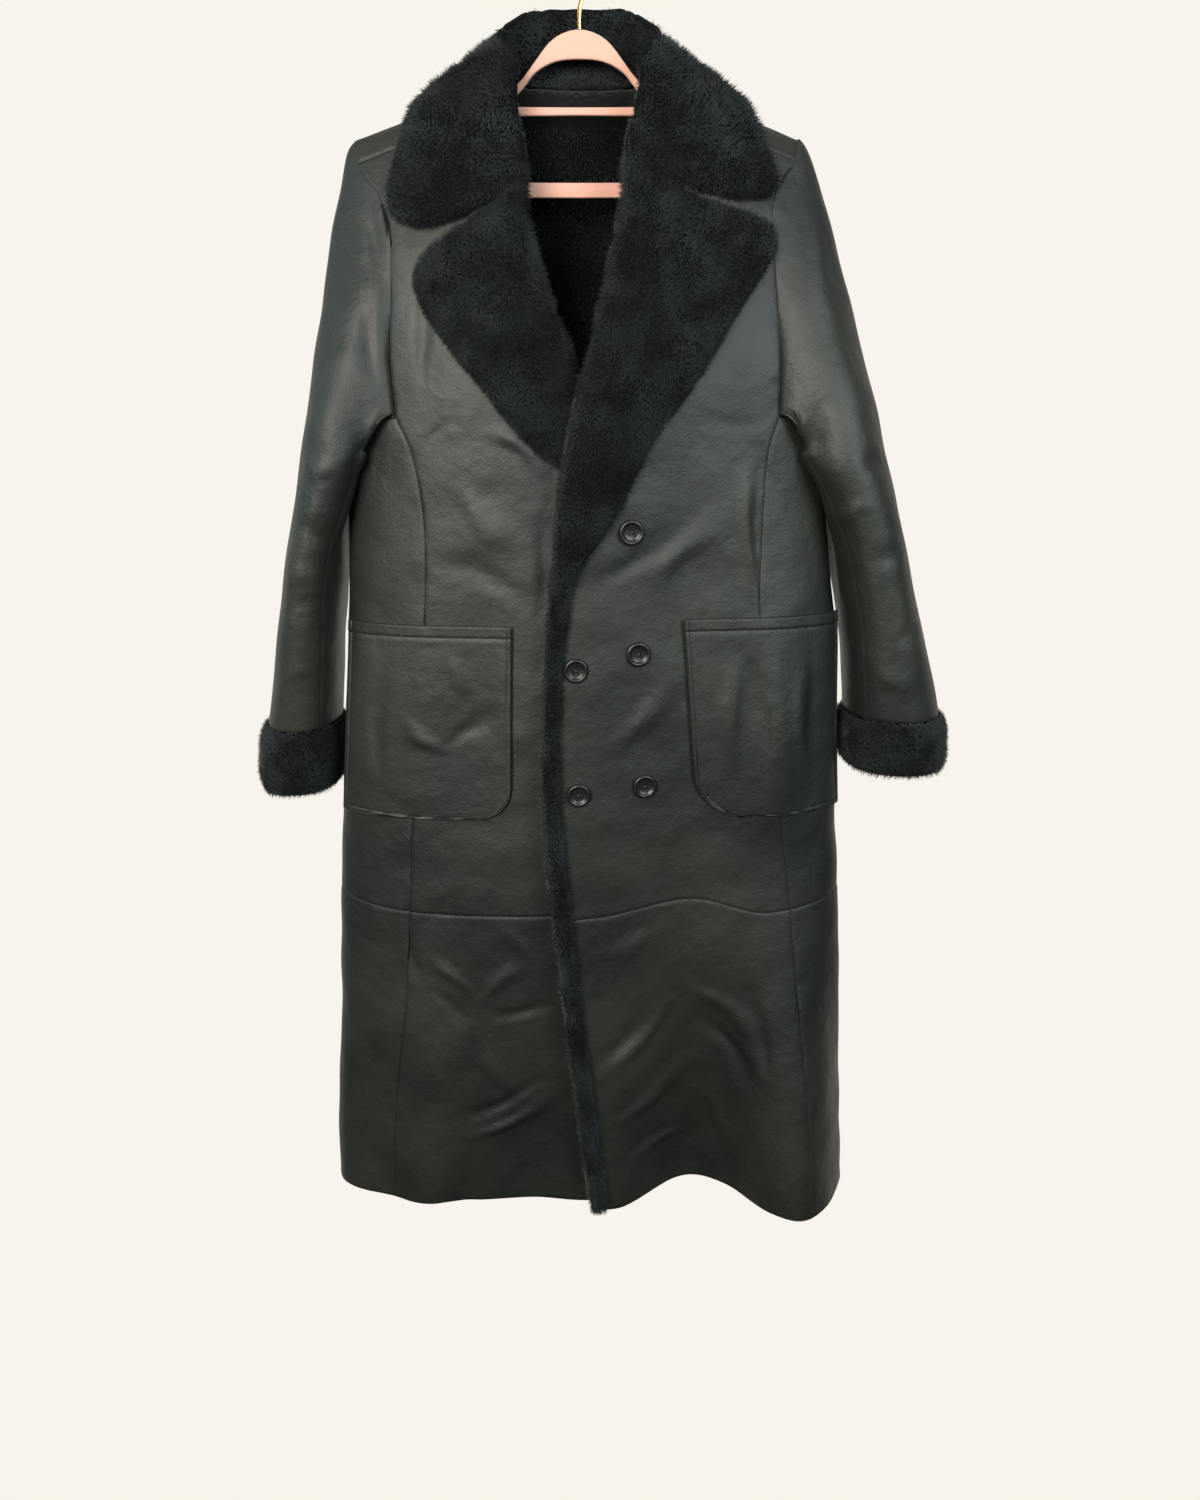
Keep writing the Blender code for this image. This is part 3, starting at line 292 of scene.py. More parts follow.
SLEEVE_CREASES = {
    "right": table(Crease, (
        (-0.193, -0.231, -0.185, -0.292, 0.000, 0.012, -0.0042),
        (-0.202, -0.323, -0.189, -0.397, 0.000, 0.013, -0.0046),
        (-0.216, -0.303, -0.171, -0.316, 0.000, 0.011, 0.0028),
        (-0.185, -0.404, -0.214, -0.469, 0.000, 0.010, 0.0030),
        (-0.198, -0.422, -0.224, -0.497, 0.000, 0.010, -0.0030),
        (-0.230, -0.470, -0.272, -0.455, 0.003, 0.013, 0.0022),
        (-0.274, -0.516, -0.240, -0.540, 0.000, 0.011, -0.0024),
        (-0.252, -0.575, -0.294, -0.560, 0.003, 0.011, 0.0018),
        (-0.291, -0.605, -0.255, -0.592, 0.000, 0.011, -0.0018),
        (-0.268, -0.660, -0.318, -0.680, 0.003, 0.012, 0.0018),
    )),
    "left": table(Crease, (
        (0.211, -0.231, 0.241, -0.342, 0.000, 0.018, 0.0032),
        (0.195, -0.404, 0.225, -0.441, 0.000, 0.010, 0.0040),
        (0.208, -0.397, 0.243, -0.471, 0.000, 0.010, -0.0036),
        (0.270, -0.469, 0.298, -0.455, 0.000, 0.012, -0.0024),
        (0.240, -0.520, 0.288, -0.500, 0.003, 0.012, 0.0022),
        (0.285, -0.565, 0.321, -0.536, 0.003, 0.011, -0.0024),
        (0.310, -0.645, 0.350, -0.612, 0.003, 0.010, -0.0020),
        (0.290, -0.668, 0.345, -0.690, 0.004, 0.013, 0.0018),
    )),
}


# --- curves and surfaces ------------------------------------------------------------------
def value(rows, place, column):
    """The smooth value of a table's column, by the table's first column."""
    keys = np.array([row[0] for row in rows], float)
    points = np.array([getattr(row, column) for row in rows], float)
    ends = np.arange(len(keys))
    after, before = np.minimum(ends + 1, len(keys) - 1), np.maximum(ends - 1, 0)
    slopes = (points[after] - points[before]) / (keys[after] - keys[before])
    place = np.clip(place, keys[0], keys[-1])
    i = np.clip(np.searchsorted(keys, place, side="right") - 1, 0, len(keys) - 2)
    span = keys[i + 1] - keys[i]
    t = (place - keys[i]) / span
    return ((2 * t**3 - 3 * t**2 + 1) * points[i] + (t**3 - 2 * t**2 + t) * span * slopes[i]
            + (3 * t**2 - 2 * t**3) * points[i + 1] + (t**3 - t**2) * span * slopes[i + 1])


def smooth(t):
    t = np.clip(t, 0.0, 1.0)
    return t * t * (3 - 2 * t)


def signed_power(number, power):
    return np.sign(number) * np.abs(number) ** power


def bell(t):
    """1 in the middle, and softly 0 from -1 outward and from 1 outward."""
    return np.where(np.abs(t) < 1, np.cos(np.clip(t, -1, 1) * math.pi / 2) ** 2, 0.0)


def length(vectors):
    return np.sqrt((vectors**2).sum(-1))


def unit(vectors):
    return vectors / np.maximum(length(vectors), 1e-12)[..., None]


def fold_height(face, x, z):
    """What the folds add to the surface at x and z, outward."""
    total = np.zeros(np.broadcast(face, x, z).shape)
    for fold in FOLDS:
        t = (z - fold.foot_z) / (fold.head_z - fold.foot_z)
        here = (face == fold.face) & (t >= -0.001) & (t <= 1)
        across = (x - fold.foot_x - t * (fold.head_x - fold.foot_x)) / fold.half
        along = smooth(1 - t) if fold.open else np.sin(math.pi * t) ** 2
        total = total + np.where(here, fold.height * along * bell(across), 0.0)
    return total


def lift(x, z):
    """How far the left front stands off the common surface, over the right front."""
    edge = value(FRONT_EDGE, z, "left")
    across = smooth((OVERLAP_END - x) / (OVERLAP_END - edge))
    return OVERLAP_LIFT * across * smooth((-0.270 - z) / 0.130)


def lower(turn, z, lifted=False):
    """The outer surface below the armholes. Turn 0 is the front, 90 the left side."""
    turn, z = np.broadcast_arrays(np.asarray(turn, float), np.asarray(z, float))
    right, left = value(SECTIONS, z, "right"), value(SECTIONS, z, "left")
    power = 2 / value(SECTIONS, z, "corner")
    s, c = np.sin(np.radians(turn)), np.cos(np.radians(turn))
    x = (left + right) / 2 + (left - right) / 2 * signed_power(s, power)
    face = np.where(c > 0, -1, 1)
    depth = np.where(c > 0, value(SECTIONS, z, "front"), value(SECTIONS, z, "back"))
    y = face * (depth * np.abs(c) ** power
                + fold_height(face, x, z) * np.minimum(1, np.abs(c) * 2.2))
    if lifted:
        y = y - np.where(c > 0, lift(x, z), 0.0)
    return np.stack((x, y, z), -1)


def turn_at(x, z):
    """The turn at which the front has a given x. The back has it at 180 less this."""
    right, left = value(SECTIONS, z, "right"), value(SECTIONS, z, "left")
    across = np.clip((2 * x - left - right) / (left - right), -1, 1)
    return np.degrees(np.arcsin(signed_power(across, value(SECTIONS, z, "corner") / 2)))


def ridge(x):
    """Height of the shoulder's ridge. Inside the neck it goes on level."""
    height, start, slope = RIDGE
    return height - slope * np.maximum(np.abs(x) - start, 0)


def upper(x, tilt, lifted=False):
    """The outer surface over the armholes' bottom, from the front over the ridge."""
    x, tilt = np.broadcast_arrays(np.asarray(x, float), np.asarray(tilt, float))
    c = np.cos(np.radians(tilt))
    z = ARM_Z + (ridge(x) - ARM_Z) * np.sin(np.radians(tilt))
    turn = turn_at(x, np.full(x.shape, ARM_Z))
    base = lower(np.where(c > 0, turn, 180 - turn), np.full(x.shape, ARM_Z))
    y = base[..., 1] * np.abs(c) ** 1.25
    if lifted:
        y = y - np.where(c > 0, lift(x, z), 0.0)
    return np.stack((x, y, z), -1)


def tilt_at(x, z):
    return np.degrees(np.arcsin(np.clip((z - ARM_Z) / (ridge(x) - ARM_Z), -1, 1)))


def with_normal(surface, a, b, lifted=False):
    """Points of a surface and the direction out of the coat there."""
    step_a, step_b = (0.4, 0.002) if surface is lower else (0.002, 0.4)
    along_a = surface(a + step_a, b, lifted) - surface(a - step_a, b, lifted)
    along_b = surface(a, b + step_b, lifted) - surface(a, b - step_b, lifted)
    return surface(a, b, lifted), unit(np.cross(along_a, along_b))


def front(x, z, lifted=False):
    """Points of the front, and their normals, by x and z."""
    x, z = np.broadcast_arrays(np.asarray(x, float), np.asarray(z, float))
    low, low_out = with_normal(lower, turn_at(x, z), z, lifted)
    high, high_out = with_normal(upper, x, tilt_at(x, z), lifted)
    below = (z <= ARM_Z)[..., None]
    return np.where(below, low, high), np.where(below, low_out, high_out)


def along_rows(points):
    """For a grid of points, each one's distance along its row from the row's start."""
    steps = length(points[:, 1:] - points[:, :-1])
    return np.concatenate((np.zeros((len(points), 1)), np.cumsum(steps, axis=1)), axis=1)


def to_borders(points):
    """For a grid of points, the distances to its left, right, first and last borders."""
    across = along_rows(points)
    along = along_rows(points.swapaxes(0, 1)).T
    return across, across[:, -1:] - across, along, along[-1:] - along


def grid_normals(points, like=None):
    """Normals of a grid of points, turned to the side of the vectors that they are like."""
    found = unit(np.cross(np.gradient(points, axis=1), np.gradient(points, axis=0)))
    if like is not None and (found * like).sum() < 0:
        found = -found
    return found


def along_curve(points, places):
    """Points of a smooth curve through a row of points, at fractional places."""
    last = len(points) - 1
    i = np.clip(np.floor(places).astype(int), 0, last - 1)
    t = (places - i).reshape(-1, *[1] * (points.ndim - 1))
    p, q = points[np.maximum(i - 1, 0)], points[i]
    r, s = points[i + 1], points[np.minimum(i + 2, last)]
    return 0.5 * (2 * q + (r - p) * t + (2 * p - 5 * q + 4 * r - s) * t**2
                  + (3 * q - p - 3 * r + s) * t**3)


def between(grid, rows, columns):
    """Points of a smooth surface through a grid of points, at fractional rows and columns."""
    return along_curve(along_curve(grid, rows).swapaxes(0, 1), columns).swapaxes(0, 1)


CREASE_WANDER = 0.003   # how far a crease strays from its line


def crease_height(creases, x, z):
    """What the creases add to the leather at x and z, outward."""
    total = np.zeros(np.broadcast(x, z).shape)
    for crease in creases:
        run = np.array((crease.end_x - crease.x, crease.end_z - crease.z))
        reach = math.hypot(*run)
        run = run / reach
        t = ((x - crease.x) * run[0] + (z - crease.z) * run[1]) / reach
        off = (z - crease.z) * run[0] - (x - crease.x) * run[1]
        off = off - crease.bow * (1 - (2 * t - 1) ** 2)
        off = off - CREASE_WANDER * np.sin(7 * t + 90 * crease.x)
        half = crease.half * (1 + 0.3 * np.sin(6 * t + 70 * crease.z))
        along = smooth(np.minimum(t, 1 - t) / 0.45)
        total = total + crease.height * along * bell(off / half)
    return total


def soft_noise(points, size, seed):
    """A gentle unevenness from -1 to 1, of bumps of about a given size in metres."""
    generator = np.random.default_rng(seed)
    total = np.zeros(points.shape[:-1])
    for _ in range(9):
        way = unit(generator.normal(size=3))
        wave = size * generator.uniform(1.4, 3.0)
        total += np.sin(points @ way * math.tau / wave + generator.uniform(0, math.tau))
    return total / 5


# --- materials ----------------------------------------------------------------------------
def hex_colour(text):
    """An sRGB hex value as a linear colour."""
    parts = [int(text[k:k + 2], 16) / 255 for k in (0, 2, 4)]
    return (*[p / 12.92 if p <= 0.04045 else ((p + 0.055) / 1.055) ** 2.4 for p in parts], 1.0)


def add_node(tree, kind, settings=None, numbers=None, links=None):
    """A node with its settings, the numbers of its sockets and what is linked into them."""
    made = tree.nodes.new(kind)
    for name, setting in (settings or {}).items():
        setattr(made, name, setting)
    for name, number in (numbers or {}).items():
        made.inputs[name].default_value = number
    for name, output in (links or {}).items():
        tree.links.new(output, made.inputs[name])
    return made


def new_material(name, numbers):
    """A material, its node tree, its shader and the coordinates of the coat."""
    made = bpy.data.materials.new(name)
    made.use_nodes = True
    tree = made.node_tree
    shader = tree.nodes["Principled BSDF"]
    for socket, number in numbers.items():
        shader.inputs[socket].default_value = number
    return made, tree, shader, add_node(tree, "ShaderNodeTexCoord").outputs["Object"]


def two_toned(tree, shader, pattern, low, high, ends=(0.0, 1.0)):
    """Colours a finish between two tones, as a pattern goes from one end to the other."""
    tone = add_node(tree, "ShaderNodeValToRGB", {}, {}, {"Fac": pattern})
    for element, end, colour in zip(tone.color_ramp.elements, ends, (low, high)):
        element.position, element.color = end, hex_colour(colour)
    tree.links.new(tone.outputs["Color"], shader.inputs["Base Color"])


def leather_material():
    """Black nappa: drum-dyed, with a thin satin pigment finish. Broad soft highlights, fine
    pebbled grain of about 1 mm, drawn at 1.6 mm to show, the soft dents of 22 mm and less that
    supple leather hangs in, and slightly warmer worn places of some 20 cm."""
    made, tree, shader, place = new_material("black_nappa_leather", {
        "Roughness": 0.55, "IOR": 1.5, "Specular IOR Level": 0.5})
    wear = add_node(tree, "ShaderNodeTexNoise", {}, {"Scale": 5.0, "Detail": 3.0},
                    {"Vector": place})
    two_toned(tree, shader, wear.outputs["Fac"], "131614", "262620", (0.38, 0.66))
    polish = add_node(tree, "ShaderNodeTexNoise", {}, {"Scale": 14.0, "Detail": 4.0},
                      {"Vector": place})
    gloss = add_node(tree, "ShaderNodeMapRange", {}, {"To Min": 0.46, "To Max": 0.64},
                     {"Value": polish.outputs["Fac"]})
    tree.links.new(gloss.outputs["Result"], shader.inputs["Roughness"])
    grain = add_node(tree, "ShaderNodeTexVoronoi", {"feature": "SMOOTH_F1"},
                     {"Scale": 1 / 0.0016, "Randomness": 1.0}, {"Vector": place})
    pores = add_node(tree, "ShaderNodeBump", {}, {"Strength": 0.45, "Distance": 0.0004},
                     {"Height": grain.outputs["Distance"]})
    supple = add_node(tree, "ShaderNodeTexNoise", {}, {"Scale": 1 / 0.022, "Detail": 5.0},
                      {"Vector": place})
    dents = add_node(tree, "ShaderNodeBump", {}, {"Strength": 0.62, "Distance": 0.0028},
                     {"Height": supple.outputs["Fac"], "Normal": pores.outputs["Normal"]})
    tree.links.new(dents.outputs["Normal"], shader.inputs["Normal"])
    return made


def lining_material():
    """The inside of the sheepskin: black wool pile, matt, in soft clumps of about 4 mm."""
    made, tree, shader, place = new_material("black_wool_lining", {
        "Roughness": 0.95, "Specular IOR Level": 0.15, "Sheen Weight": 0.25,
        "Sheen Roughness": 0.5})
    clumps = add_node(tree, "ShaderNodeTexVoronoi", {"feature": "SMOOTH_F1"}, {"Scale": 1 / 0.004},
                      {"Vector": place})
    two_toned(tree, shader, clumps.outputs["Distance"], "131414", "060707")
    relief = add_node(tree, "ShaderNodeBump", {"invert": True},
                      {"Strength": 0.8, "Distance": 0.002}, {"Height": clumps.outputs["Distance"]})
    tree.links.new(relief.outputs["Normal"], shader.inputs["Normal"])
    return made


def fur_hair_material():
    """Sheared sheepskin pile, dyed black: near black, with a faint gloss on the hairs, and
    lighter, cool grey patches of some 50 mm that are a painted sheen, as where light catches the
    fur."""
    made, tree, shader, place = new_material("black_sheared_fur", {
        "Roughness": 0.55, "Specular IOR Level": 0.28, "Sheen Weight": 0.10,
        "Sheen Roughness": 0.4})
    # Painted sheen: noise patches of some 50 mm that go from near black to a lighter cool grey.
    painted_sheen = add_node(tree, "ShaderNodeTexNoise", {}, {"Scale": 20.0, "Detail": 4.0},
                    {"Vector": place})
    two_toned(tree, shader, painted_sheen.outputs["Fac"], "020304", "1f2628", (0.40, 0.62))
    return made


def fur_hide_material():
    """The dense undercoat at the foot of the hairs: black and quite matt, in 3 mm tufts."""
    made, tree, shader, place = new_material("black_undercoat", {
        "Roughness": 1.0, "Specular IOR Level": 0.1})
    tufts = add_node(tree, "ShaderNodeTexNoise", {}, {"Scale": 1 / 0.003, "Detail": 2.0},
                     {"Vector": place})
    two_toned(tree, shader, tufts.outputs["Fac"], "050606", "101112")
    relief = add_node(tree, "ShaderNodeBump", {}, {"Strength": 0.8, "Distance": 0.0015},
                      {"Height": tufts.outputs["Fac"]})
    tree.links.new(relief.outputs["Normal"], shader.inputs["Normal"])
    return made


def button_material():
    """Moulded black polyester button, tumble-polished: a satin gloss, with barely warmer
    clouds of 4 mm."""
    made, tree, shader, place = new_material("polished_button_resin", {
        "Roughness": 0.32, "IOR": 1.5, "Specular IOR Level": 0.5})
    clouds = add_node(tree, "ShaderNodeTexNoise", {}, {"Scale": 1 / 0.004, "Detail": 2.0},
                      {"Vector": place})
    two_toned(tree, shader, clouds.outputs["Fac"], "131414", "211f1e")
    return made


def thread_material():
    """Black waxed polyester sewing thread: a soft shine, two plies of about 0.4 mm."""
    made, tree, shader, place = new_material("waxed_thread", {
        "Roughness": 0.5, "Specular IOR Level": 0.5})
    plies = add_node(tree, "ShaderNodeTexNoise", {}, {"Scale": 1 / 0.0004}, {"Vector": place})
    two_toned(tree, shader, plies.outputs["Fac"], "1a1a19", "2c2b29")
    return made


def flocking_material():
    """Blush rayon flock on moulded plastic: matt, with a velvet sheen and 0.8 mm mottling."""
    made, tree, shader, place = new_material("blush_flocking", {
        "Roughness": 0.92, "Specular IOR Level": 0.2, "Sheen Weight": 0.5,
        "Sheen Roughness": 0.45, "Sheen Tint": hex_colour("f6d9cc")})
    flock = add_node(tree, "ShaderNodeTexNoise", {}, {"Scale": 1 / 0.0008, "Detail": 3.0},
                     {"Vector": place})
    two_toned(tree, shader, flock.outputs["Fac"], "c8917f", "e0b09f")
    relief = add_node(tree, "ShaderNodeBump", {}, {"Strength": 0.35, "Distance": 0.0003},
                      {"Height": flock.outputs["Fac"]})
    tree.links.new(relief.outputs["Normal"], shader.inputs["Normal"])
    return made


def brass_plate_material():
    """Brass-plated steel wire, drawn and polished: warm, with faint drawing marks."""
    made, tree, shader, place = new_material("brass_plated_wire", {
        "Roughness": 0.2, "Metallic": 1.0})
    marks = add_node(tree, "ShaderNodeTexNoise", {}, {"Scale": 300.0, "Detail": 2.0},
                     {"Vector": place})
    two_toned(tree, shader, marks.outputs["Fac"], "c99a4d", "e6bf78")
    gloss = add_node(tree, "ShaderNodeMapRange", {}, {"To Min": 0.14, "To Max": 0.30},
                     {"Value": marks.outputs["Fac"]})
    tree.links.new(gloss.outputs["Result"], shader.inputs["Roughness"])
    return made


# --- meshes -------------------------------------------------------------------------------
def put_in_scene(name, data):
    made = bpy.data.objects.new(name, data)
    bpy.context.scene.collection.objects.link(made)
    return made


def final_mesh(thing):
    """A mesh of a thing with its modifiers applied."""
    shaped = thing.evaluated_get(bpy.context.evaluated_depsgraph_get())
    return bpy.data.meshes.new_from_object(shaped)


def link(name, data, finishes, replaced=(), sharp=40):
    """An object from a mesh, at the origin, that rides with the coat."""
    made = put_in_scene(name, data)
    for finish in finishes:
        data.materials.append(finish)
    data.shade_smooth()
    if sharp:
        data.set_sharp_from_angle(angle=math.radians(sharp))
    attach(made, "root")
    if replaced:
        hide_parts(*replaced)
    return made


def from_bmesh(name, mesh):
    data = bpy.data.meshes.new(name)
    mesh.to_mesh(data)
    mesh.free()
    return data


def grid_data(name, points, normals=None, weld=False):
    """A mesh grid whose vertices are put at rows and columns of points, facing outward."""
    if normals is not None and (grid_normals(points) * normals).sum() < 0:
        points = points[:, ::-1]
    rows, columns = points.shape[:2]
    mesh = bmesh.new()
    bmesh.ops.create_grid(mesh, x_segments=columns - 1, y_segments=rows - 1, size=1.0)
    for vert, place in zip(mesh.verts, points.reshape(-1, 3)):
        vert.co = place
    if weld:
        bmesh.ops.remove_doubles(mesh, verts=mesh.verts, dist=0.00002)
    return from_bmesh(name, mesh)


def give_wall(piece, thickness):
    """Makes a sheet a closed wall, inward. The inside takes the piece's second material."""
    made = piece.modifiers.new("wall", "SOLIDIFY")
    made.thickness = thickness
    made.offset = -1
    made.material_offset = 1


NEAR_BORDER = (0.0008, 0.0018, 0.003, 0.0048, 0.007)    # rows of points beside a seam


def finely(size, step, near=NEAR_BORDER):
    """Shares from 0 to 1 of a size in metres: even steps, and finer ones near both ends."""
    near = [share / size for share in near]
    inner = np.linspace(near[-1], 1 - near[-1], max(int(round(size / step)), 2) + 1)
    return np.concatenate(([0.0], near[:-1], inner, [1 - share for share in reversed(near[:-1])],
                           [1.0]))


# --- leather ------------------------------------------------------------------------------
SEAM_DEPTH = 0.0007     # how far a seam is drawn in
SEAM_WIDTH = 0.0019     # half width of its valley
PUCKER_HEIGHT, PUCKER_SIZE = 0.0010, 0.030      # of the soft unevenness all over
SEWN_PUCKER_HEIGHT, SEWN_PUCKER_SIZE = 0.0003, 0.010    # of the tighter one along the seams
SEWN_PUCKER_REACH = 0.016
INSIDE_ROOM = 0.0006    # by which the shown wall is thinner, for its dips and creases


def leather_panel(name, points, normals, creases=(), *, seed):
    """One cut of leather: its seams drawn in, its creases, and a slight unevenness."""
    nearest = np.minimum.reduce(to_borders(points))
    height = crease_height(creases, points[..., 0], points[..., 2])
    height -= SEAM_DEPTH * np.exp(-(nearest / SEAM_WIDTH) ** 2)
    height += PUCKER_HEIGHT * soft_noise(points, PUCKER_SIZE, seed)
    sewn = np.exp(-(nearest / SEWN_PUCKER_REACH) ** 2)
    height += SEWN_PUCKER_HEIGHT * soft_noise(points, SEWN_PUCKER_SIZE, seed + 50) * sewn
    points = points + normals * height[..., None]
    made = link(f"{name}_leather", grid_data(name, points, normals), (leather, lining),
                (name,))
    give_wall(made, WALL - INSIDE_ROOM)


def hem(turn):
    """Height of the hem at a turn: level, but for the curve of the left front."""
    middle, half, rise = HEM_RISE
    across = (lower(turn, np.full(np.shape(turn), HEM_Z))[..., 0] - middle) / half
    here = (np.abs(turn) <= 90) & (np.abs(across) <= 1)
    return HEM_Z + np.where(here, rise * bell(across), 0.0)


DRAWN_UP = (15, 22, 0.021)      # the skirt seam on the left front: its turn, width and rise


def skirt_seam(turn):
    """Height of the seam round the body: drawn up at the sides, and on the left front too."""
    middle, half, rise = DRAWN_UP
    drawn_up = rise * bell((turn - middle) / half)
    return SKIRT_Z + SKIRT_RISE * np.sin(np.radians(turn)) ** 4 + drawn_up


def armhole_foot(turn):
    return np.full(np.shape(turn), ARM_Z)


def lower_part(turns, foot, head, shares, heights, lifted=False):
    """Rows of points below the armholes; turns gives a row's turns at its middle height."""
    start, end = float(foot(np.float64(0))), float(head(np.float64(0)))
    turn = np.stack([turns(start + (end - start) * t, shares) for t in heights])
    t = heights[:, None]
    z = foot(turn) + (head(turn) - foot(turn)) * t
    return with_normal(lower, turn, z, lifted)


def front_turns(side):
    def turns(z, shares):
        edge = turn_at(value(FRONT_EDGE, z, side), z)
        return edge + (turn_at(value(PRINCESS, z, side), z) - edge) * shares
    return turns


def side_turns(side):
    def turns(z, shares):
        seam = turn_at(value(PRINCESS, z, side), z)
        back = (180 if side == "left" else -180) - turn_at(value(BACK_SEAM, z, side), z)
        return seam + (back - seam) * shares
    return turns


def back_turns(z, shares):
    """The back's turns, by shares from 0 at the left seam to 1 at the right one."""
    across = 1 - 2 * shares
    x = np.where(across > 0, value(BACK_SEAM, z, "left") * across,
                 -value(BACK_SEAM, z, "right") * across)
    return 180 - turn_at(x, np.full(x.shape, z))


def front_upper(side, shares, tilts, lifted):
    """The front over the armhole's bottom, up to the shoulder seam."""
    places = lower(front_turns(side)(ARM_Z, shares), np.full(shares.shape, ARM_Z))[:, 0]
    across = (places - places[0]) / (places[-1] - places[0])
    edge = np.zeros(tilts.shape)
    for _ in range(4):
        z = ARM_Z + (ridge(edge) - ARM_Z) * np.sin(np.radians(tilts))
        edge = value(FRONT_EDGE, z, side)
    hole = value(ARMHOLE, tilts, side)
    x = edge[:, None] + (hole - edge)[:, None] * across
    return with_normal(upper, x, np.repeat(tilts[:, None], len(shares), 1), lifted)


def back_upper(shares, tilts):
    """The back over the armholes' bottom, over the ridge to the shoulder seams."""
    places = lower(back_turns(ARM_Z, shares), np.full(shares.shape, ARM_Z))[:, 0]
    spots, reached = [], []
    for tilt in tilts:
        hole = np.where(places > 0, value(ARMHOLE, tilt, "left"), value(ARMHOLE, tilt, "right"))
        full = np.where(places > 0, value(ARMHOLE, 180, "left"), value(ARMHOLE, 180, "right"))
        spot = places * hole / full
        limit = np.maximum(value(NECKLINE, np.abs(spot), "tilt"), SEAM_TILT)
        spots.append(spot)
        reached.append(180 - (180 - tilt) / (180 - SEAM_TILT) * (180 - limit))
    return with_normal(upper, np.stack(spots), np.stack(reached))


def stacked(low, high):
    """Two grids of points and normals as one, the second without its first row."""
    return tuple(np.concatenate((a, b[1:])) for a, b in zip(low, high))


PANEL_STEP = {"front": 0.0040, "plain": 0.0080}     # between rows of points
SKIRT_TALL, BODY_TALL = 0.365, 0.52     # about how tall the panels are, and how wide
FRONT_TALL, BACK_TALL = 0.30, 0.34      # from the armholes' bottom up
FRONT_WIDE, SIDE_WIDE, BACK_WIDE = 0.21, 0.20, 0.42


def up_to_armhole(step):
    """Heights of a panel that goes on over the armholes' bottom, so not finer at its top."""
    return np.append(finely(BODY_TALL, step)[:-len(NEAR_BORDER)], 1.0)


def make_body():
    step, coarse = PANEL_STEP["front"], PANEL_STEP["plain"]
    for side, lifted in (("right", False), ("left", True)):
        turns = front_turns(side)
        wide = finely(FRONT_WIDE, step)
        skirt = lower_part(turns, hem, skirt_seam, wide, finely(SKIRT_TALL, step), lifted)
        leather_panel(f"front_{side}_skirt", *skirt, FRONT_CREASES, seed=3)
        low = lower_part(turns, skirt_seam, armhole_foot, wide, up_to_armhole(step), lifted)
        tilts = SEAM_TILT * finely(FRONT_TALL, step)[len(NEAR_BORDER) - 1:]
        high = front_upper(side, wide, np.append(0.0, tilts), lifted)
        leather_panel(f"front_{side}", *stacked(low, high), FRONT_CREASES, seed=5)
        wide = finely(SIDE_WIDE, coarse)
        for name, foot, head, tall in ((f"side_{side}_skirt", hem, skirt_seam, SKIRT_TALL),
                                       (f"side_{side}", skirt_seam, armhole_foot, BODY_TALL)):
            panel = lower_part(side_turns(side), foot, head, wide, finely(tall, coarse))
            leather_panel(name, *panel, seed=7)
    wide = finely(BACK_WIDE, coarse)
    skirt = lower_part(back_turns, hem, skirt_seam, wide, finely(SKIRT_TALL, coarse))
    leather_panel("back_skirt", *skirt, BACK_CREASES, seed=9)
    low = lower_part(back_turns, skirt_seam, armhole_foot, wide, up_to_armhole(coarse))
    tilts = 180 - (180 - SEAM_TILT) * finely(BACK_TALL, coarse)[len(NEAR_BORDER):]
    high = back_upper(wide, np.append(180.0, tilts))
    leather_panel("back", *stacked(low, high), BACK_CREASES, seed=9)


# --- sleeves ------------------------------------------------------------------------------
RIDGE_TILTS = (90, 82, 74)
FRONT_TILTS = (0, 12, 24, 36, 48, 58, SEAM_TILT)
BACK_TILTS = (180, 172, 160, 145, 129, 116, 106, 98)
SIDE_COLUMNS = 9
SLEEVE_CAP = (0.14, 0.34, 0.57, 0.80, 1.0)
UP_AND_OUT = np.array((0.0, 0.0, 0.6))
TUCK_UNDER, TUCK_IN = 0.0030, 0.0016    # what the sleeve's seam lies under the body's edge
FRONT_SEAM, BACK_SEAM_BEFORE = 9, 5     # the seams' places on the ring, and before its end
SLEEVE_TALL, TOP_WIDE, UNDER_WIDE = 0.62, 0.19, 0.17
SLEEVE_STEP = 0.0062
CAP_ROOM, SLEEVE_ROOM = 0.005, 0.006    # what keeps the sleeve off the body's side


def armhole_ring(side):
    """Round an armhole from the ridge, by the front and the underarm to the back: points, the
    directions in which the sleeve sets off, and how its seam is tucked under the body."""
    sign = 1 if side == "left" else -1
    ring, ways, tucks = [], [], []
    shares = np.linspace(0, 1, SIDE_COLUMNS)[1:-1]
    under = [(turn, None) for turn in side_turns(side)(ARM_Z, shares)]
    for turn, tilt in ([(None, tilt) for tilt in (*RIDGE_TILTS, *reversed(FRONT_TILTS))]
                       + under + [(None, tilt) for tilt in BACK_TILTS]):
        if tilt is None:
            point, normal = with_normal(lower, np.float64(turn), np.float64(ARM_Z))
            share, sideways = 0.0, normal
        else:
            x = value(ARMHOLE, tilt, side)
            point, normal = with_normal(upper, x, np.float64(tilt))
            sideways = unit(upper(x + sign * 0.004, tilt) - point)
            share = float(smooth(math.sin(math.radians(tilt)) / 0.75))
        ring.append(point)
        tucks.append(-unit(sideways) * TUCK_UNDER * share - normal * TUCK_IN)
        ways.append(unit(sideways * share + (normal * 0.8 + UP_AND_OUT) * (1 - share)))
    return np.stack(ring), np.stack(ways), np.stack(tucks)


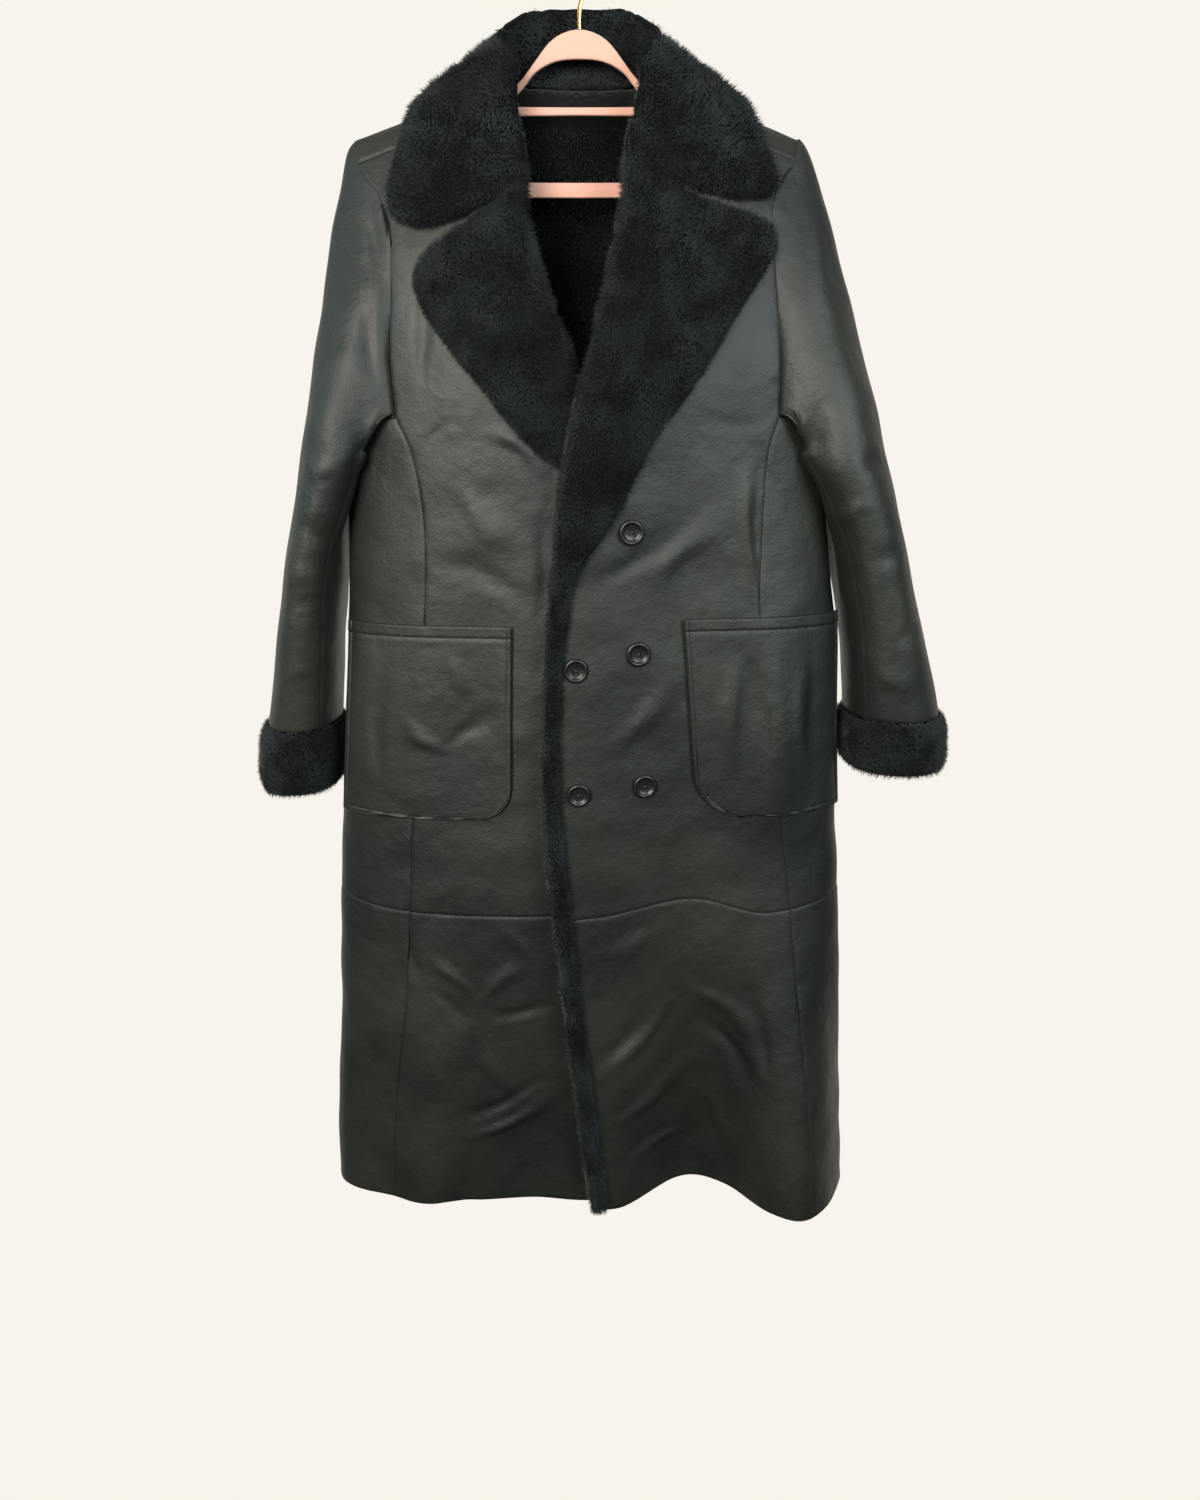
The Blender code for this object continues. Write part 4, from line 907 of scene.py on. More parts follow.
def ring_angles(ring):
    """The angle round the sleeve of each place on the ring: 0 outside, 180 underarm."""
    count = len(ring)
    under = len(FRONT_TILTS) + len(RIDGE_TILTS) + (SIDE_COLUMNS - 2) // 2
    so_far = np.concatenate(([0.0], np.cumsum(length(np.roll(ring, -1, 0) - ring))))
    k = np.arange(count)
    before = k <= under
    by_length = np.where(before, so_far[:-1] / so_far[under],
                         1 + (so_far[:-1] - so_far[under]) / (so_far[-1] - so_far[under]))
    by_number = np.where(before, k / under, 1 + (k - under) / (count - under))
    return 180 * (by_length * (1 - RING_EVENNESS) + by_number * RING_EVENNESS)


def clear_of_body(points, side, clearance):
    """Moves a sleeve's points out of the body's side, along X."""
    x, y, z = points[..., 0], points[..., 1], np.minimum(points[..., 2], ARM_Z)
    depth = np.where(y < 0, value(SECTIONS, z, "front"), value(SECTIONS, z, "back"))
    share = np.abs(y) / (depth + 0.004)
    right, left = value(SECTIONS, z, "right"), value(SECTIONS, z, "left")
    corner = value(SECTIONS, z, "corner")
    half = (left - right) / 2 * np.clip(1 - share**corner, 0, 1) ** (1 / corner) + clearance
    beside = (points[..., 2] <= ARM_Z) & (share < 1)
    middle = (left + right) / 2
    pushed = np.maximum(x, middle + half) if side == "left" else np.minimum(x, middle - half)
    return np.stack((np.where(beside, pushed, x), y, points[..., 2]), -1)


def sleeve_points(side, angles, z):
    """Points of the sleeve's level section: angle 0 is outside and 90 at the front."""
    levels = tuple(reversed(SLEEVES[side]))
    inner, outer = value(levels, z, "inner"), value(levels, z, "outer")
    c, s = np.cos(np.radians(angles)), np.sin(np.radians(angles))
    x = (inner + outer) / 2 + (outer - inner) / 2 * signed_power(c, 2 / SLEEVE_POWER)
    y = value(levels, z, "y") - value(levels, z, "half") * signed_power(s, 2 / SLEEVE_POWER)
    return clear_of_body(np.stack((x, y, np.full(x.shape, z)), -1), side, SLEEVE_ROOM)


def sleeve_rows(side):
    """Rows of points down a sleeve, round it but open behind, and its first row's tucks."""
    ring, ways, tucks = armhole_ring(side)
    angles = ring_angles(ring)
    levels = SLEEVES[side]
    rows = [ring]
    ends = sleeve_points(side, angles, levels[0].z)
    reach = length(ends - ring)[:, None]
    leave = ways * np.maximum(reach * CAP_FULLNESS, 0.050)
    slant = (levels[1].outer - levels[0].outer) / (levels[0].z - levels[1].z)
    outside = np.maximum(np.cos(np.radians(angles)), 0)
    arrive = unit(np.stack((slant * outside, 0 * outside, -1 + 0 * outside), -1)) * reach * 0.9
    for t in SLEEVE_CAP:
        points = ((2 * t**3 - 3 * t**2 + 1) * ring + (t**3 - 2 * t**2 + t) * leave
                  + (3 * t**2 - 2 * t**3) * ends + (t**3 - t**2) * arrive)
        rows.append(clear_of_body(points, side, CAP_ROOM))
    rows += [sleeve_points(side, angles, level.z) for level in levels[1:]]
    return np.stack(rows), tucks


def make_sleeve(side):
    """The top and the under sleeve. Gives the sleeve's last two rows, which the cuff takes up."""
    rows, tucks = sleeve_rows(side)
    count = rows.shape[1]
    back_seam = count - BACK_SEAM_BEFORE
    over = [k % count for k in range(back_seam, count + FRONT_SEAM + 1)]
    under = list(range(FRONT_SEAM, back_seam + 1))
    tall = finely(SLEEVE_TALL, SLEEVE_STEP) * (len(rows) - 1)
    middle = along_curve(rows.mean(axis=1), tall)[:, None]
    middle = np.concatenate((middle[:1], middle))
    for name, columns, wide in (("top", over, TOP_WIDE), ("under", under, UNDER_WIDE)):
        places = finely(wide, SLEEVE_STEP) * (len(columns) - 1)
        points = between(rows[:, columns], tall, places)
        tucked_in = points[:1] + along_curve(tucks[columns], places)
        points = np.concatenate((tucked_in, points))
        normals = grid_normals(points, points - middle)
        leather_panel(f"sleeve_{name}_{side}", points, normals, SLEEVE_CREASES[side], seed=11)
    return rows[-1], rows[-2]


# --- fur ----------------------------------------------------------------------------------
PILE = 0.0075           # length of the sheared fur
PILE_SHOWN = 0.0060     # how far it stands off the hide
PILE_ROOT = 0.0006      # how deep its foot is in the hide
PILE_LENGTHS = (0.72, 1.12)     # the shortest and the longest hair, of PILE
TUFT_FOOT, TUFT_TIP = 0.00050, 0.00002      # a tuft's radius at its foot and tip
LOCKS_PER_METRE = 30.0  # how often the hairs' lean changes, which makes locks of 3 cm
LOCK_LEAN = 3.4         # how strongly the hairs of a lock lean together
LOOSE_LEAN = 0.35       # and how far each one strays from its lock
HIDE_UNEVEN = (0.0007, 0.013)   # height and size of the bumps in a fur's surface


def fur_pile(name, carrier, count, comb, seed):
    """Dense short hairs on a carrier surface, as one mesh. The carrier itself goes."""
    area = sum(face.area for face in carrier.data.polygons)
    tree = bpy.data.node_groups.new(f"{name}_growth", "GeometryNodeTree")
    tree.interface.new_socket("hide", in_out="INPUT", socket_type="NodeSocketGeometry")
    tree.interface.new_socket("pile", in_out="OUTPUT", socket_type="NodeSocketGeometry")
    start, end = tree.nodes.new("NodeGroupInput"), tree.nodes.new("NodeGroupOutput")
    masked = add_node(tree, "GeometryNodeInputNamedAttribute", {"data_type": "FLOAT"},
                      {"Name": "growth"})
    scatter = add_node(tree, "GeometryNodeDistributePointsOnFaces", {}, {"Seed": seed},
                       {"Mesh": start.outputs[0]})
    dense = add_node(tree, "ShaderNodeMath", {"operation": "MULTIPLY"}, {1: count / area},
                     {0: masked.outputs["Attribute"]})
    tree.links.new(dense.outputs[0], scatter.inputs["Density"])
    here = add_node(tree, "GeometryNodeInputPosition")
    locks = add_node(tree, "ShaderNodeTexNoise", {}, {"Scale": LOCKS_PER_METRE, "Detail": 2.0},
                     {"Vector": here.outputs[0]})
    centred = add_node(tree, "ShaderNodeVectorMath", {"operation": "SUBTRACT"},
                       {1: (0.5, 0.5, 0.5)}, {0: locks.outputs["Color"]})
    lean = add_node(tree, "ShaderNodeVectorMath", {"operation": "MULTIPLY_ADD"},
                    {1: (LOCK_LEAN,) * 3, 2: comb}, {0: centred.outputs[0]})
    loose = add_node(tree, "FunctionNodeRandomValue", {"data_type": "FLOAT_VECTOR"},
                     {0: (-LOOSE_LEAN,) * 3, 1: (LOOSE_LEAN,) * 3, "Seed": seed + 1})
    both = add_node(tree, "ShaderNodeVectorMath", {"operation": "ADD"}, {},
                    {0: lean.outputs[0], 1: loose.outputs[0]})
    stands = add_node(tree, "ShaderNodeVectorMath", {"operation": "ADD"}, {},
                      {0: both.outputs[0], 1: scatter.outputs["Normal"]})
    turned = add_node(tree, "FunctionNodeAlignRotationToVector", {"axis": "Z"}, {},
                      {"Vector": stands.outputs[0]})
    size = add_node(tree, "FunctionNodeRandomValue", {"data_type": "FLOAT"},
                    {2: PILE_LENGTHS[0], 3: PILE_LENGTHS[1], "Seed": seed + 2})
    hair = add_node(tree, "GeometryNodeObjectInfo", {}, {"Object": one_hair()})
    grown = add_node(tree, "GeometryNodeInstanceOnPoints", {}, {},
                     {"Points": scatter.outputs["Points"], "Instance": hair.outputs["Geometry"],
                      "Rotation": turned.outputs[0], "Scale": size.outputs[1]})
    real = add_node(tree, "GeometryNodeRealizeInstances", {}, {}, {0: grown.outputs[0]})
    tree.links.new(real.outputs[0], end.inputs[0])
    carrier.modifiers.new("growth", "NODES").node_group = tree
    data = final_mesh(carrier)
    data.name = f"{name}_fur"
    bpy.data.objects.remove(carrier)
    data.materials.clear()
    for attribute in [a.name for a in data.attributes if a.name in ("growth", "sharp_face")]:
        data.attributes.remove(data.attributes[attribute])
    link(f"{name}_fur", data, (fur_hair,), sharp=0)


def one_hair():
    """A tapered tuft of hair, the pile's length high, kept once and never shown."""
    if "fur_tuft" in bpy.data.objects:
        return bpy.data.objects["fur_tuft"]
    mesh = bmesh.new()
    bmesh.ops.create_cone(mesh, segments=3, radius1=TUFT_FOOT, radius2=TUFT_TIP, depth=PILE)
    bmesh.ops.remove_doubles(mesh, verts=mesh.verts, dist=0.00006)
    bmesh.ops.translate(mesh, verts=mesh.verts, vec=(0, 0, PILE / 2 - PILE_ROOT))
    return bpy.data.objects.new("fur_tuft", from_bmesh("fur_tuft", mesh))


def fur_piece(name, points, normals, growth, count, comb, seed, wall=0.0, weld=False):
    """A fur piece: its hide, a little uneven, and the hairs that grow on it. Growth is their
    share of the full density at each point, and comb the way in which they are combed."""
    height, size = HIDE_UNEVEN
    points = points + normals * (height * soft_noise(points, size, seed))[..., None]
    if (grid_normals(points) * normals).sum() < 0:
        points, normals, growth = points[:, ::-1], normals[:, ::-1], growth[:, ::-1]
    carrier = put_in_scene(f"{name}_carrier", grid_data(f"{name}_carrier", points))
    mask = carrier.data.attributes.new("growth", "FLOAT", "POINT")
    mask.data.foreach_set("value", growth.reshape(-1).astype(np.float32))
    data = grid_data(f"{name}_hide", points, None, weld)
    hide = link(f"{name}_hide", data, (fur_hide, fur_hide), (name,))
    if wall:
        give_wall(hide, wall)
    fur_pile(name, carrier, count, comb, seed)


ACROSS_COLLAR = np.array((0.0, 0.22, 0.5, 0.78, 1.0))   # from the neckline to the edge
COLLAR_GRID = (120, 36)
COLLAR_LEAN = 0.45      # how much more its roll leans in at the sides of the neck
COLLAR_SINK = 0.015     # how much lower it stands behind them
COLLAR_EDGE = 0.6       # how thick its edge is, of the rest
COLLAR_INSET = 0.0035   # what the hide is drawn in, so that the hairs reach the true surface
COLLAR_ROUND = 0.003    # how far its roll is rounded
END_ROUND = 0.007       # and its front ends
END_THIN = 0.35         # and how thick these are at their tip, of the rest


def make_collar():
    """The fur collar, up from the neckline, over its roll and down to its edge."""
    stations = np.array(COLLAR_RIGHT + tuple(reversed(COLLAR_LEFT)))
    fine = along_curve(stations, np.arange(0, len(stations) - 0.9, 0.5))
    profiles, cores = [], []
    for row in (Collar(*numbers) for numbers in fine):
        beside = COLLAR_LEAN * float(bell((row.neck_tilt - 74) / 20)) * np.sign(row.neck_x)
        behind = float(bell((abs(row.neck_x) - 0.074) / 0.032) * smooth((row.neck_tilt - 72) / 14))
        row = row._replace(lean_x=row.lean_x - beside, stand=row.stand - COLLAR_SINK * behind)
        lean = unit(np.array((row.lean_x, row.lean_y, row.lean_z)))
        share = ACROSS_COLLAR
        tilt = row.neck_tilt + (row.edge_tilt - row.neck_tilt) * share
        point, normal = with_normal(upper, row.neck_x + (row.edge_x - row.neck_x) * share, tilt)
        way = unit(lean * (1 - share)[:, None] + normal * share[:, None])
        height = FUR + (row.stand - FUR) * (1 - share) ** 1.2
        height[-1] *= COLLAR_EDGE
        clearance = COLLAR_CLEARANCE + RIDGE_CLEARANCE * np.sin(np.radians(tilt)) ** 12
        feet = point + normal * clearance[:, None]
        tops = feet + way * height[:, None]
        middle = (feet[0] + tops[0]) / 2 + unit(tops[0] - tops[1]) * COLLAR_ROUND
        roll = tops[0] - lean * COLLAR_ROUND
        profiles.append(np.stack((feet[0], middle, roll, *tops[1:], feet[-1])))
        cores.append(np.stack((feet[0], feet[0], feet[0], *feet[1:], feet[-1])))
    profiles, cores = np.stack(profiles), np.stack(cores)
    rows, columns = (np.linspace(0, size - 1, count)
                     for size, count in zip(profiles.shape, COLLAR_GRID))
    points, core = between(profiles, rows, columns), between(cores, rows, columns)
    normals = grid_normals(points, points - core)
    first, last, one_end, other_end = to_borders(points)
    inset = COLLAR_INSET * smooth(np.minimum(first, last) / 0.010)
    points = points - normals * inset[..., None]
    near_end = np.clip(np.minimum(one_end, other_end) / END_ROUND, 0, 1)
    rounded = np.sqrt(1 - (1 - near_end) ** 2)[..., None]
    points = core + (points - core) * (END_THIN + (1 - END_THIN) * rounded)
    normals = grid_normals(points, points - core)
    fur_piece("collar", points, normals, np.ones(points.shape[:2]), 46000, (0.0, -0.1, -0.45),
              20, wall=0.0025)


LAPEL_HEAD = 0.4        # how far a lapel goes on over its first row, of the first interval
LAPEL_REACH = 0.0022    # and how far past its outline, so that its round border shows as wide
BAND_INSET = 0.0046     # what the narrow band is drawn in at each side, as hairs cover it
BAND_WIDTHS = (0.060, 0.030)    # it is drawn in from the first width down, fully at the second
LAPEL_STEP, LAPEL_COLUMNS = 0.0045, 26
LAPEL_ROUND = 0.007


def make_lapel(name, lapel, lifted, count, seed):
    """A fur slab on a front, round at its borders. Its rows run from the roll to the edge."""
    lapel = np.array(lapel)
    sizes = np.hypot(np.diff(lapel[:, 2]), np.diff(lapel[:, 3]))
    so_far = np.concatenate(([0.0], np.cumsum(sizes)))
    places = np.arange(-LAPEL_HEAD * sizes[0], so_far[-1] + LAPEL_REACH, LAPEL_STEP)
    rows = along_curve(lapel, np.interp(places, so_far, np.arange(len(lapel)))
                       + np.minimum(places, 0) / sizes[0])
    roll_x, roll_z, edge_x, edge_z, thick = rows.T[..., None]
    width = np.hypot(edge_x - roll_x, edge_z - roll_z)
    shares = (1 - np.cos(np.linspace(0, math.pi, LAPEL_COLUMNS))) / 2
    widest, narrowest = BAND_WIDTHS
    narrow = smooth((widest - width) / (widest - narrowest))
    inset = np.minimum((BAND_INSET * narrow - LAPEL_REACH) / width, 0.30)
    share = inset + (1 - 2 * inset) * shares
    x = roll_x + (edge_x - roll_x) * share
    z = roll_z + (edge_z - roll_z) * share
    points, normals = front(x, z, lifted)
    from_border = np.minimum.reduce(to_borders(points)) / np.minimum(LAPEL_ROUND, width * 0.33)
    height = thick - PILE_SHOWN + 0.0005
    height = height * np.sqrt(1 - (1 - np.clip(from_border, 0, 1)) ** 2)
    raised = points + normals * (LAPEL_CLEARANCE + 0.0008 + height)[..., None]
    fur_piece(name, raised, grid_normals(raised, normals), np.ones(raised.shape[:2]), count,
              (0.05, -0.1, -0.35), seed, wall=0.0008)


CUFF_SLANT = 0.10       # how much the cuff leans outward
CUFF_GRID = (45, 100)
# The cuff's section, from the sleeve's end round its outside to its inside: how far out from
# the sleeve's surface, and how far down, of the cuff's height.
CUFF_SECTION = ((-WALL, 0.0), (CUFF_FUR * 0.45, 0.0), (CUFF_FUR * 0.95, 0.18),
                (CUFF_FUR * 1.10, 0.5), (CUFF_FUR * 0.95, 0.85), (CUFF_FUR * 0.40, 1.0),
                (-WALL, 1.0), (-WALL * 1.3, 0.5))


def make_cuff(side, end, before, count, seed):
    """A thick fur ring that goes on from the sleeve's end, with short sparse fur inside."""
    around = np.roll(end, -1, 0) - np.roll(end, 1, 0)
    middle = end.mean(axis=0)
    normals = unit(np.cross(around, end - before))
    if (normals * (end - middle)).sum() < 0:
        normals = -normals
    slant = CUFF_SLANT if side == "left" else -CUFF_SLANT
    down = unit(np.array((slant, 0, -1.0))) * CUFF_HEIGHT[side]
    start = end + np.array((0, 0, -SEAM))
    rings = np.stack([start + normals * out + down * along for out, along in CUFF_SECTION])
    wrapped = np.concatenate((rings[-1:], rings, rings[:2]))
    wrapped = np.concatenate((wrapped[:, -1:], wrapped, wrapped[:, :2]), axis=1)
    rows = np.linspace(1, len(CUFF_SECTION) + 1, CUFF_GRID[0])
    columns = np.linspace(1, len(end) + 1, CUFF_GRID[1])
    points = between(wrapped, rows, columns)
    core = between(np.broadcast_to(wrapped.mean(axis=0), wrapped.shape), rows, columns)
    normals = grid_normals(points, points - core)
    normals[:, -1] = normals[:, 0] = unit(normals[:, 0] + normals[:, -1])
    normals[-1] = normals[0] = unit(normals[0] + normals[-1])
    inside = smooth((rows - 6.6) / 0.8) * smooth((9.0 - rows) / 0.8)
    inset = PILE_SHOWN * 0.85 * (1 - 0.75 * inside)
    points = points - normals * inset[:, None, None]
    growth = np.repeat((1 - 0.8 * inside)[:, None], len(columns), 1)
    points[:, -1], points[-1] = points[:, 0], points[0]
    fur_piece(f"cuff_{side}", points, normals, growth, count, (0.0, 0.0, -0.25), seed, weld=True)


LINING_HALF = 0.125     # half its width
LINING_TILTS = (180, 118)
LINING_DEPTH = 0.0072   # in from the back's outside


def make_back_lining():
    """Fur lining of the back, where the neck's opening shows it."""
    across, tilts = np.meshgrid(np.linspace(-LINING_HALF, LINING_HALF, 60),
                                np.linspace(*LINING_TILTS, 60))
    points, normals = with_normal(upper, across, tilts)
    points = points - normals * LINING_DEPTH
    fur_piece("lining_back", points, -normals, np.ones(points.shape[:2]), 15000,
              (0.0, 0.0, -0.4), 60, wall=0.0012)


# --- pockets, buttons, hanger -------------------------------------------------------------
POCKET_EDGE = 0.0062    # width of the double-stitched border
POCKET_HEM = 0.0125     # and of the hem at the pocket's mouth
POCKET_CLEARANCE = 0.0012       # what the pocket lies off the front
POCKET_STEP, POCKET_TALL, POCKET_WIDE = 0.0045, 0.21, 0.17
POCKET_ROUND = 0.0016   # how far its border is rounded
POCKET_EDGE_RISE, POCKET_HEM_RISE = 0.0010, 0.0005      # where its leather lies double
OUTER_STITCH = 0.0022   # from the border to the outer row of stitches
STITCH_DEPTH = 0.0008   # of the groove that a row of stitches draws, and its half width
NEAR_STITCHES = (0.0007, 0.0014, 0.0024, 0.004, 0.0052, 0.0058, 0.0063, 0.0068, 0.0075, 0.0088,
                 0.011, 0.0120, 0.0126, 0.0132, 0.0142)


def make_pocket(side):
    """A patch pocket: the body's own points, moved out, with a stitched border and hem."""
    pocket = POCKETS[side]
    sign = 1 if side == "left" else -1
    tall = finely(POCKET_TALL, POCKET_STEP, NEAR_STITCHES)
    wide = finely(POCKET_WIDE, POCKET_STEP, NEAR_STITCHES)
    z = pocket.foot + (pocket.top - pocket.foot) * tall
    down = (pocket.top - z) / (pocket.top - pocket.foot)
    x = abs(pocket.inner) + sign * pocket.slant * down
    over = np.clip(pocket.foot + pocket.radius - z, 0, pocket.radius)
    x = x + pocket.radius - np.sqrt(np.maximum(pocket.radius**2 - over**2, 0))
    first = turn_at(sign * x, z)[:, None]
    turn = first + (pocket.side_turn - first) * wide
    points, normals = with_normal(lower, turn, np.repeat(z[:, None], len(wide), 1),
                                  side == "left")
    inner, outer, bottom, mouth = to_borders(points)
    edge = np.minimum.reduce((inner, outer, bottom))
    nearest = np.minimum(edge, mouth)
    rounded = (1 - np.clip(nearest / POCKET_ROUND, 0, 1)) ** 2
    height = POCKET_CLEARANCE + WALL - POCKET_ROUND * rounded
    height += POCKET_EDGE_RISE * (1 - smooth((edge - POCKET_EDGE + 0.001) / 0.002))
    height += POCKET_HEM_RISE * (1 - smooth((mouth - POCKET_HEM + 0.001) / 0.002))
    for line in (edge - POCKET_EDGE, mouth - POCKET_HEM, edge - OUTER_STITCH):
        height -= STITCH_DEPTH * np.exp(-(line / STITCH_DEPTH) ** 2)
    height += 0.0008 * soft_noise(points, 0.05, 31) * smooth(nearest / 0.03)
    height += crease_height(FRONT_CREASES, points[..., 0], points[..., 2])
    points = points + normals * height[..., None]
    made = link(f"pocket_{side}_leather", grid_data(f"pocket_{side}", points, normals),
                (leather, leather), (f"pocket_{side}",))
    give_wall(made, WALL - 0.0008)


def put(mesh, point, normal):
    """Turns a bmesh that was made at the origin to a normal, and moves it to a point."""
    turned = Vector(normal).to_track_quat("Z", "Y").to_matrix().to_4x4()
    mesh.transform(Matrix.Translation(Vector(point)) @ turned)


# A button's section, from the middle of its face over the rim to its back: shares of its
# radius, and heights over the leather.
BUTTON_SECTION = ((0.0, 0.0022), (0.50, 0.0024), (0.64, 0.0030), (0.72, 0.0042), (0.80, 0.0047),
                  (0.90, 0.0045), (0.97, 0.0036), (1.0, 0.0024), (0.985, 0.0012),
                  (0.93, 0.0002), (0.0, 0.0))
BUTTON_OFF = 0.0006     # what it stands off the leather
HOLE_PLACE, HOLE_RADIUS = 0.0021, 0.0009


def make_button(number, x, z):
    """A turned button with a raised rim, a dished middle and four sewn holes."""
    point, normal = front(x, z, lifted=True)
    point = point + normal * BUTTON_OFF
    mesh = bmesh.new()
    verts = [mesh.verts.new((BUTTON_RADIUS * share, 0, up)) for share, up in BUTTON_SECTION]
    edges = [mesh.edges.new(pair) for pair in zip(verts, verts[1:])]
    bmesh.ops.spin(mesh, geom=verts + edges, axis=(0, 0, 1), cent=(0, 0, 0), angle=math.tau,
                   steps=48, use_merge=True)
    bmesh.ops.remove_doubles(mesh, verts=mesh.verts, dist=0.00001)
    bmesh.ops.recalc_face_normals(mesh, faces=mesh.faces)
    put(mesh, point, normal)
    made = link(f"button_{number}_turned", from_bmesh(f"button_{number}", mesh), (resin,),
                (f"button_{number}",))
    drills = bmesh.new()
    for k in range(4):
        a = math.radians(45 + 90 * k)
        at = Matrix.Translation((HOLE_PLACE * math.cos(a), HOLE_PLACE * math.sin(a), 0.002))
        bmesh.ops.create_cone(drills, cap_ends=True, segments=12, radius1=HOLE_RADIUS,
                              radius2=HOLE_RADIUS, depth=0.006, matrix=at)
    put(drills, point, normal)
    cutter = put_in_scene("drills", from_bmesh("drills", drills))
    holes = made.modifiers.new("holes", "BOOLEAN")
    holes.operation, holes.object, holes.solver = "DIFFERENCE", cutter, "EXACT"
    data = final_mesh(made)
    made.modifiers.clear()
    made.data = data
    data.set_sharp_from_angle(angle=math.radians(40))
    bpy.data.objects.remove(cutter)
    thread = bmesh.new()
    for turn in (45, -45):
        bar = bmesh.ops.create_uvsphere(thread, u_segments=8, v_segments=6, radius=0.0006)
        bmesh.ops.scale(thread, verts=bar["verts"], vec=(4.2, 1, 0.8))
        bmesh.ops.rotate(thread, verts=bar["verts"], cent=(0, 0, 0),
                         matrix=Matrix.Rotation(math.radians(turn), 3, "Z"))
        bmesh.ops.translate(thread, verts=bar["verts"], vec=(0, 0, 0.00235))
    put(thread, point, normal)
    link(f"button_{number}_thread", from_bmesh("thread", thread), (sewing_thread,))


def make_hanger():
    """The hanger's flat frame with its edges rounded, its arch and upper eye a little wider
    than the source's."""
    def arm(x, down=0.0):
        return x, float(ridge(x)) - HANGER_DROP - down

    tip = HANGER_TIP
    arch = [(-0.028, -0.091), (-0.015, -0.083), (0.0, -0.080), (0.015, -0.083), (0.028, -0.091)]
    half = [(0.041, -0.106), (0.053, -0.120), (0.068, -0.132), (0.088, -0.140), arm(0.115),
            arm(0.155, 0.001), arm(0.175, 0.004), arm(tip, 0.012),
            (tip - 0.004, -0.192), (tip - 0.020, -0.207), (tip - 0.045, -0.219)]
    outline = [(-x, z) for x, z in reversed(half)] + arch + half
    tie = [(-0.098, -0.1525), (-0.150, -0.170), (-0.170, -0.180), (-0.165, -0.194),
           (-0.150, -0.206)]
    eye = [(-0.069, -0.1430), (-0.064, -0.1380), (-0.052, -0.1275), (-0.040, -0.1145),
           (-0.022, -0.1060), (0.0, -0.1040)]
    data = bpy.data.curves.new("hanger", "CURVE")
    data.dimensions, data.fill_mode = "2D", "BOTH"
    data.bevel_depth, data.bevel_resolution = HANGER_EDGE, 3
    data.offset = -HANGER_EDGE
    data.extrude = HANGER_HALF - HANGER_EDGE
    for points in (outline, tie + [(-x, z) for x, z in reversed(tie)],
                   eye + [(-x, z) for x, z in reversed(eye[:-1])]):
        spline = data.splines.new("POLY")
        closed = np.array(points[-1:] + points + points[:2])
        fine = along_curve(closed, np.arange(1, len(points) + 1 - 0.01, 0.25))
        spline.points.add(len(fine) - 1)
        for spot, (x, z) in zip(spline.points, fine):
            spot.co = (x, z, 0, 1)
        spline.use_cyclic_u = True
    curve = put_in_scene("hanger_curve", data)
    mesh = bmesh.new()
    mesh.from_mesh(final_mesh(curve))
    bpy.data.objects.remove(curve)
    bmesh.ops.remove_doubles(mesh, verts=mesh.verts, dist=0.00001)
    bmesh.ops.recalc_face_normals(mesh, faces=mesh.faces)
    mesh.transform(Matrix.Rotation(math.radians(90), 4, "X"))
    data = from_bmesh("hanger", mesh)
    data.materials.clear()
    link("hanger_flocked", data, (flocking,), ("hanger_frame",))


# --- the cuts -----------------------------------------------------------------------------
# What each piece of leather or hide was cut from, laid flat: the size of what shows, from
# the piece's own area and the length of its seams.
Cut = namedtuple("Cut", "piece wide tall area rests_on")
CUTS = table(Cut, (
    ("front_right_leather", 0.290, 0.830, 0.155, "hanger_flocked"),
    ("front_left_leather", 0.290, 0.830, 0.155, "hanger_flocked"),
    ("back_leather", 0.440, 0.870, 0.302, "hanger_flocked"),
    ("side_right_leather", 0.240, 0.520, 0.112, "back_leather"),
    ("side_left_leather", 0.240, 0.520, 0.110, "back_leather"),
    ("front_right_skirt_leather", 0.300, 0.370, 0.100, "front_right_leather"),
    ("front_left_skirt_leather", 0.300, 0.380, 0.098, "front_left_leather"),
    ("side_right_skirt_leather", 0.240, 0.380, 0.084, "side_right_leather"),
    ("side_left_skirt_leather", 0.240, 0.380, 0.084, "side_left_leather"),
    ("back_skirt_leather", 0.440, 0.370, 0.154, "back_leather"),
    ("sleeve_top_right_leather", 0.240, 0.600, 0.100, "back_leather"),
    ("sleeve_under_right_leather", 0.170, 0.480, 0.064, "sleeve_top_right_leather"),
    ("sleeve_top_left_leather", 0.250, 0.600, 0.105, "back_leather"),
    ("sleeve_under_left_leather", 0.180, 0.470, 0.066, "sleeve_top_left_leather"),
    ("pocket_right_leather", 0.195, 0.210, 0.0395, "front_right_leather"),
    ("pocket_left_leather", 0.185, 0.213, 0.038, "front_left_leather"),
    ("cuff_right_hide", 0.310, 0.080, 0.0245, "sleeve_top_right_leather"),
    ("cuff_left_hide", 0.310, 0.072, 0.022, "sleeve_top_left_leather"),
    ("lapel_right_hide", 0.160, 0.290, 0.023, "front_right_leather"),
    ("facing_left_hide", 0.160, 1.120, 0.055, "front_left_leather"),
    ("collar_hide", 0.620, 0.200, 0.097, "back_leather"),
    ("lining_back_hide", 0.250, 0.270, 0.066, "back_leather"),
))


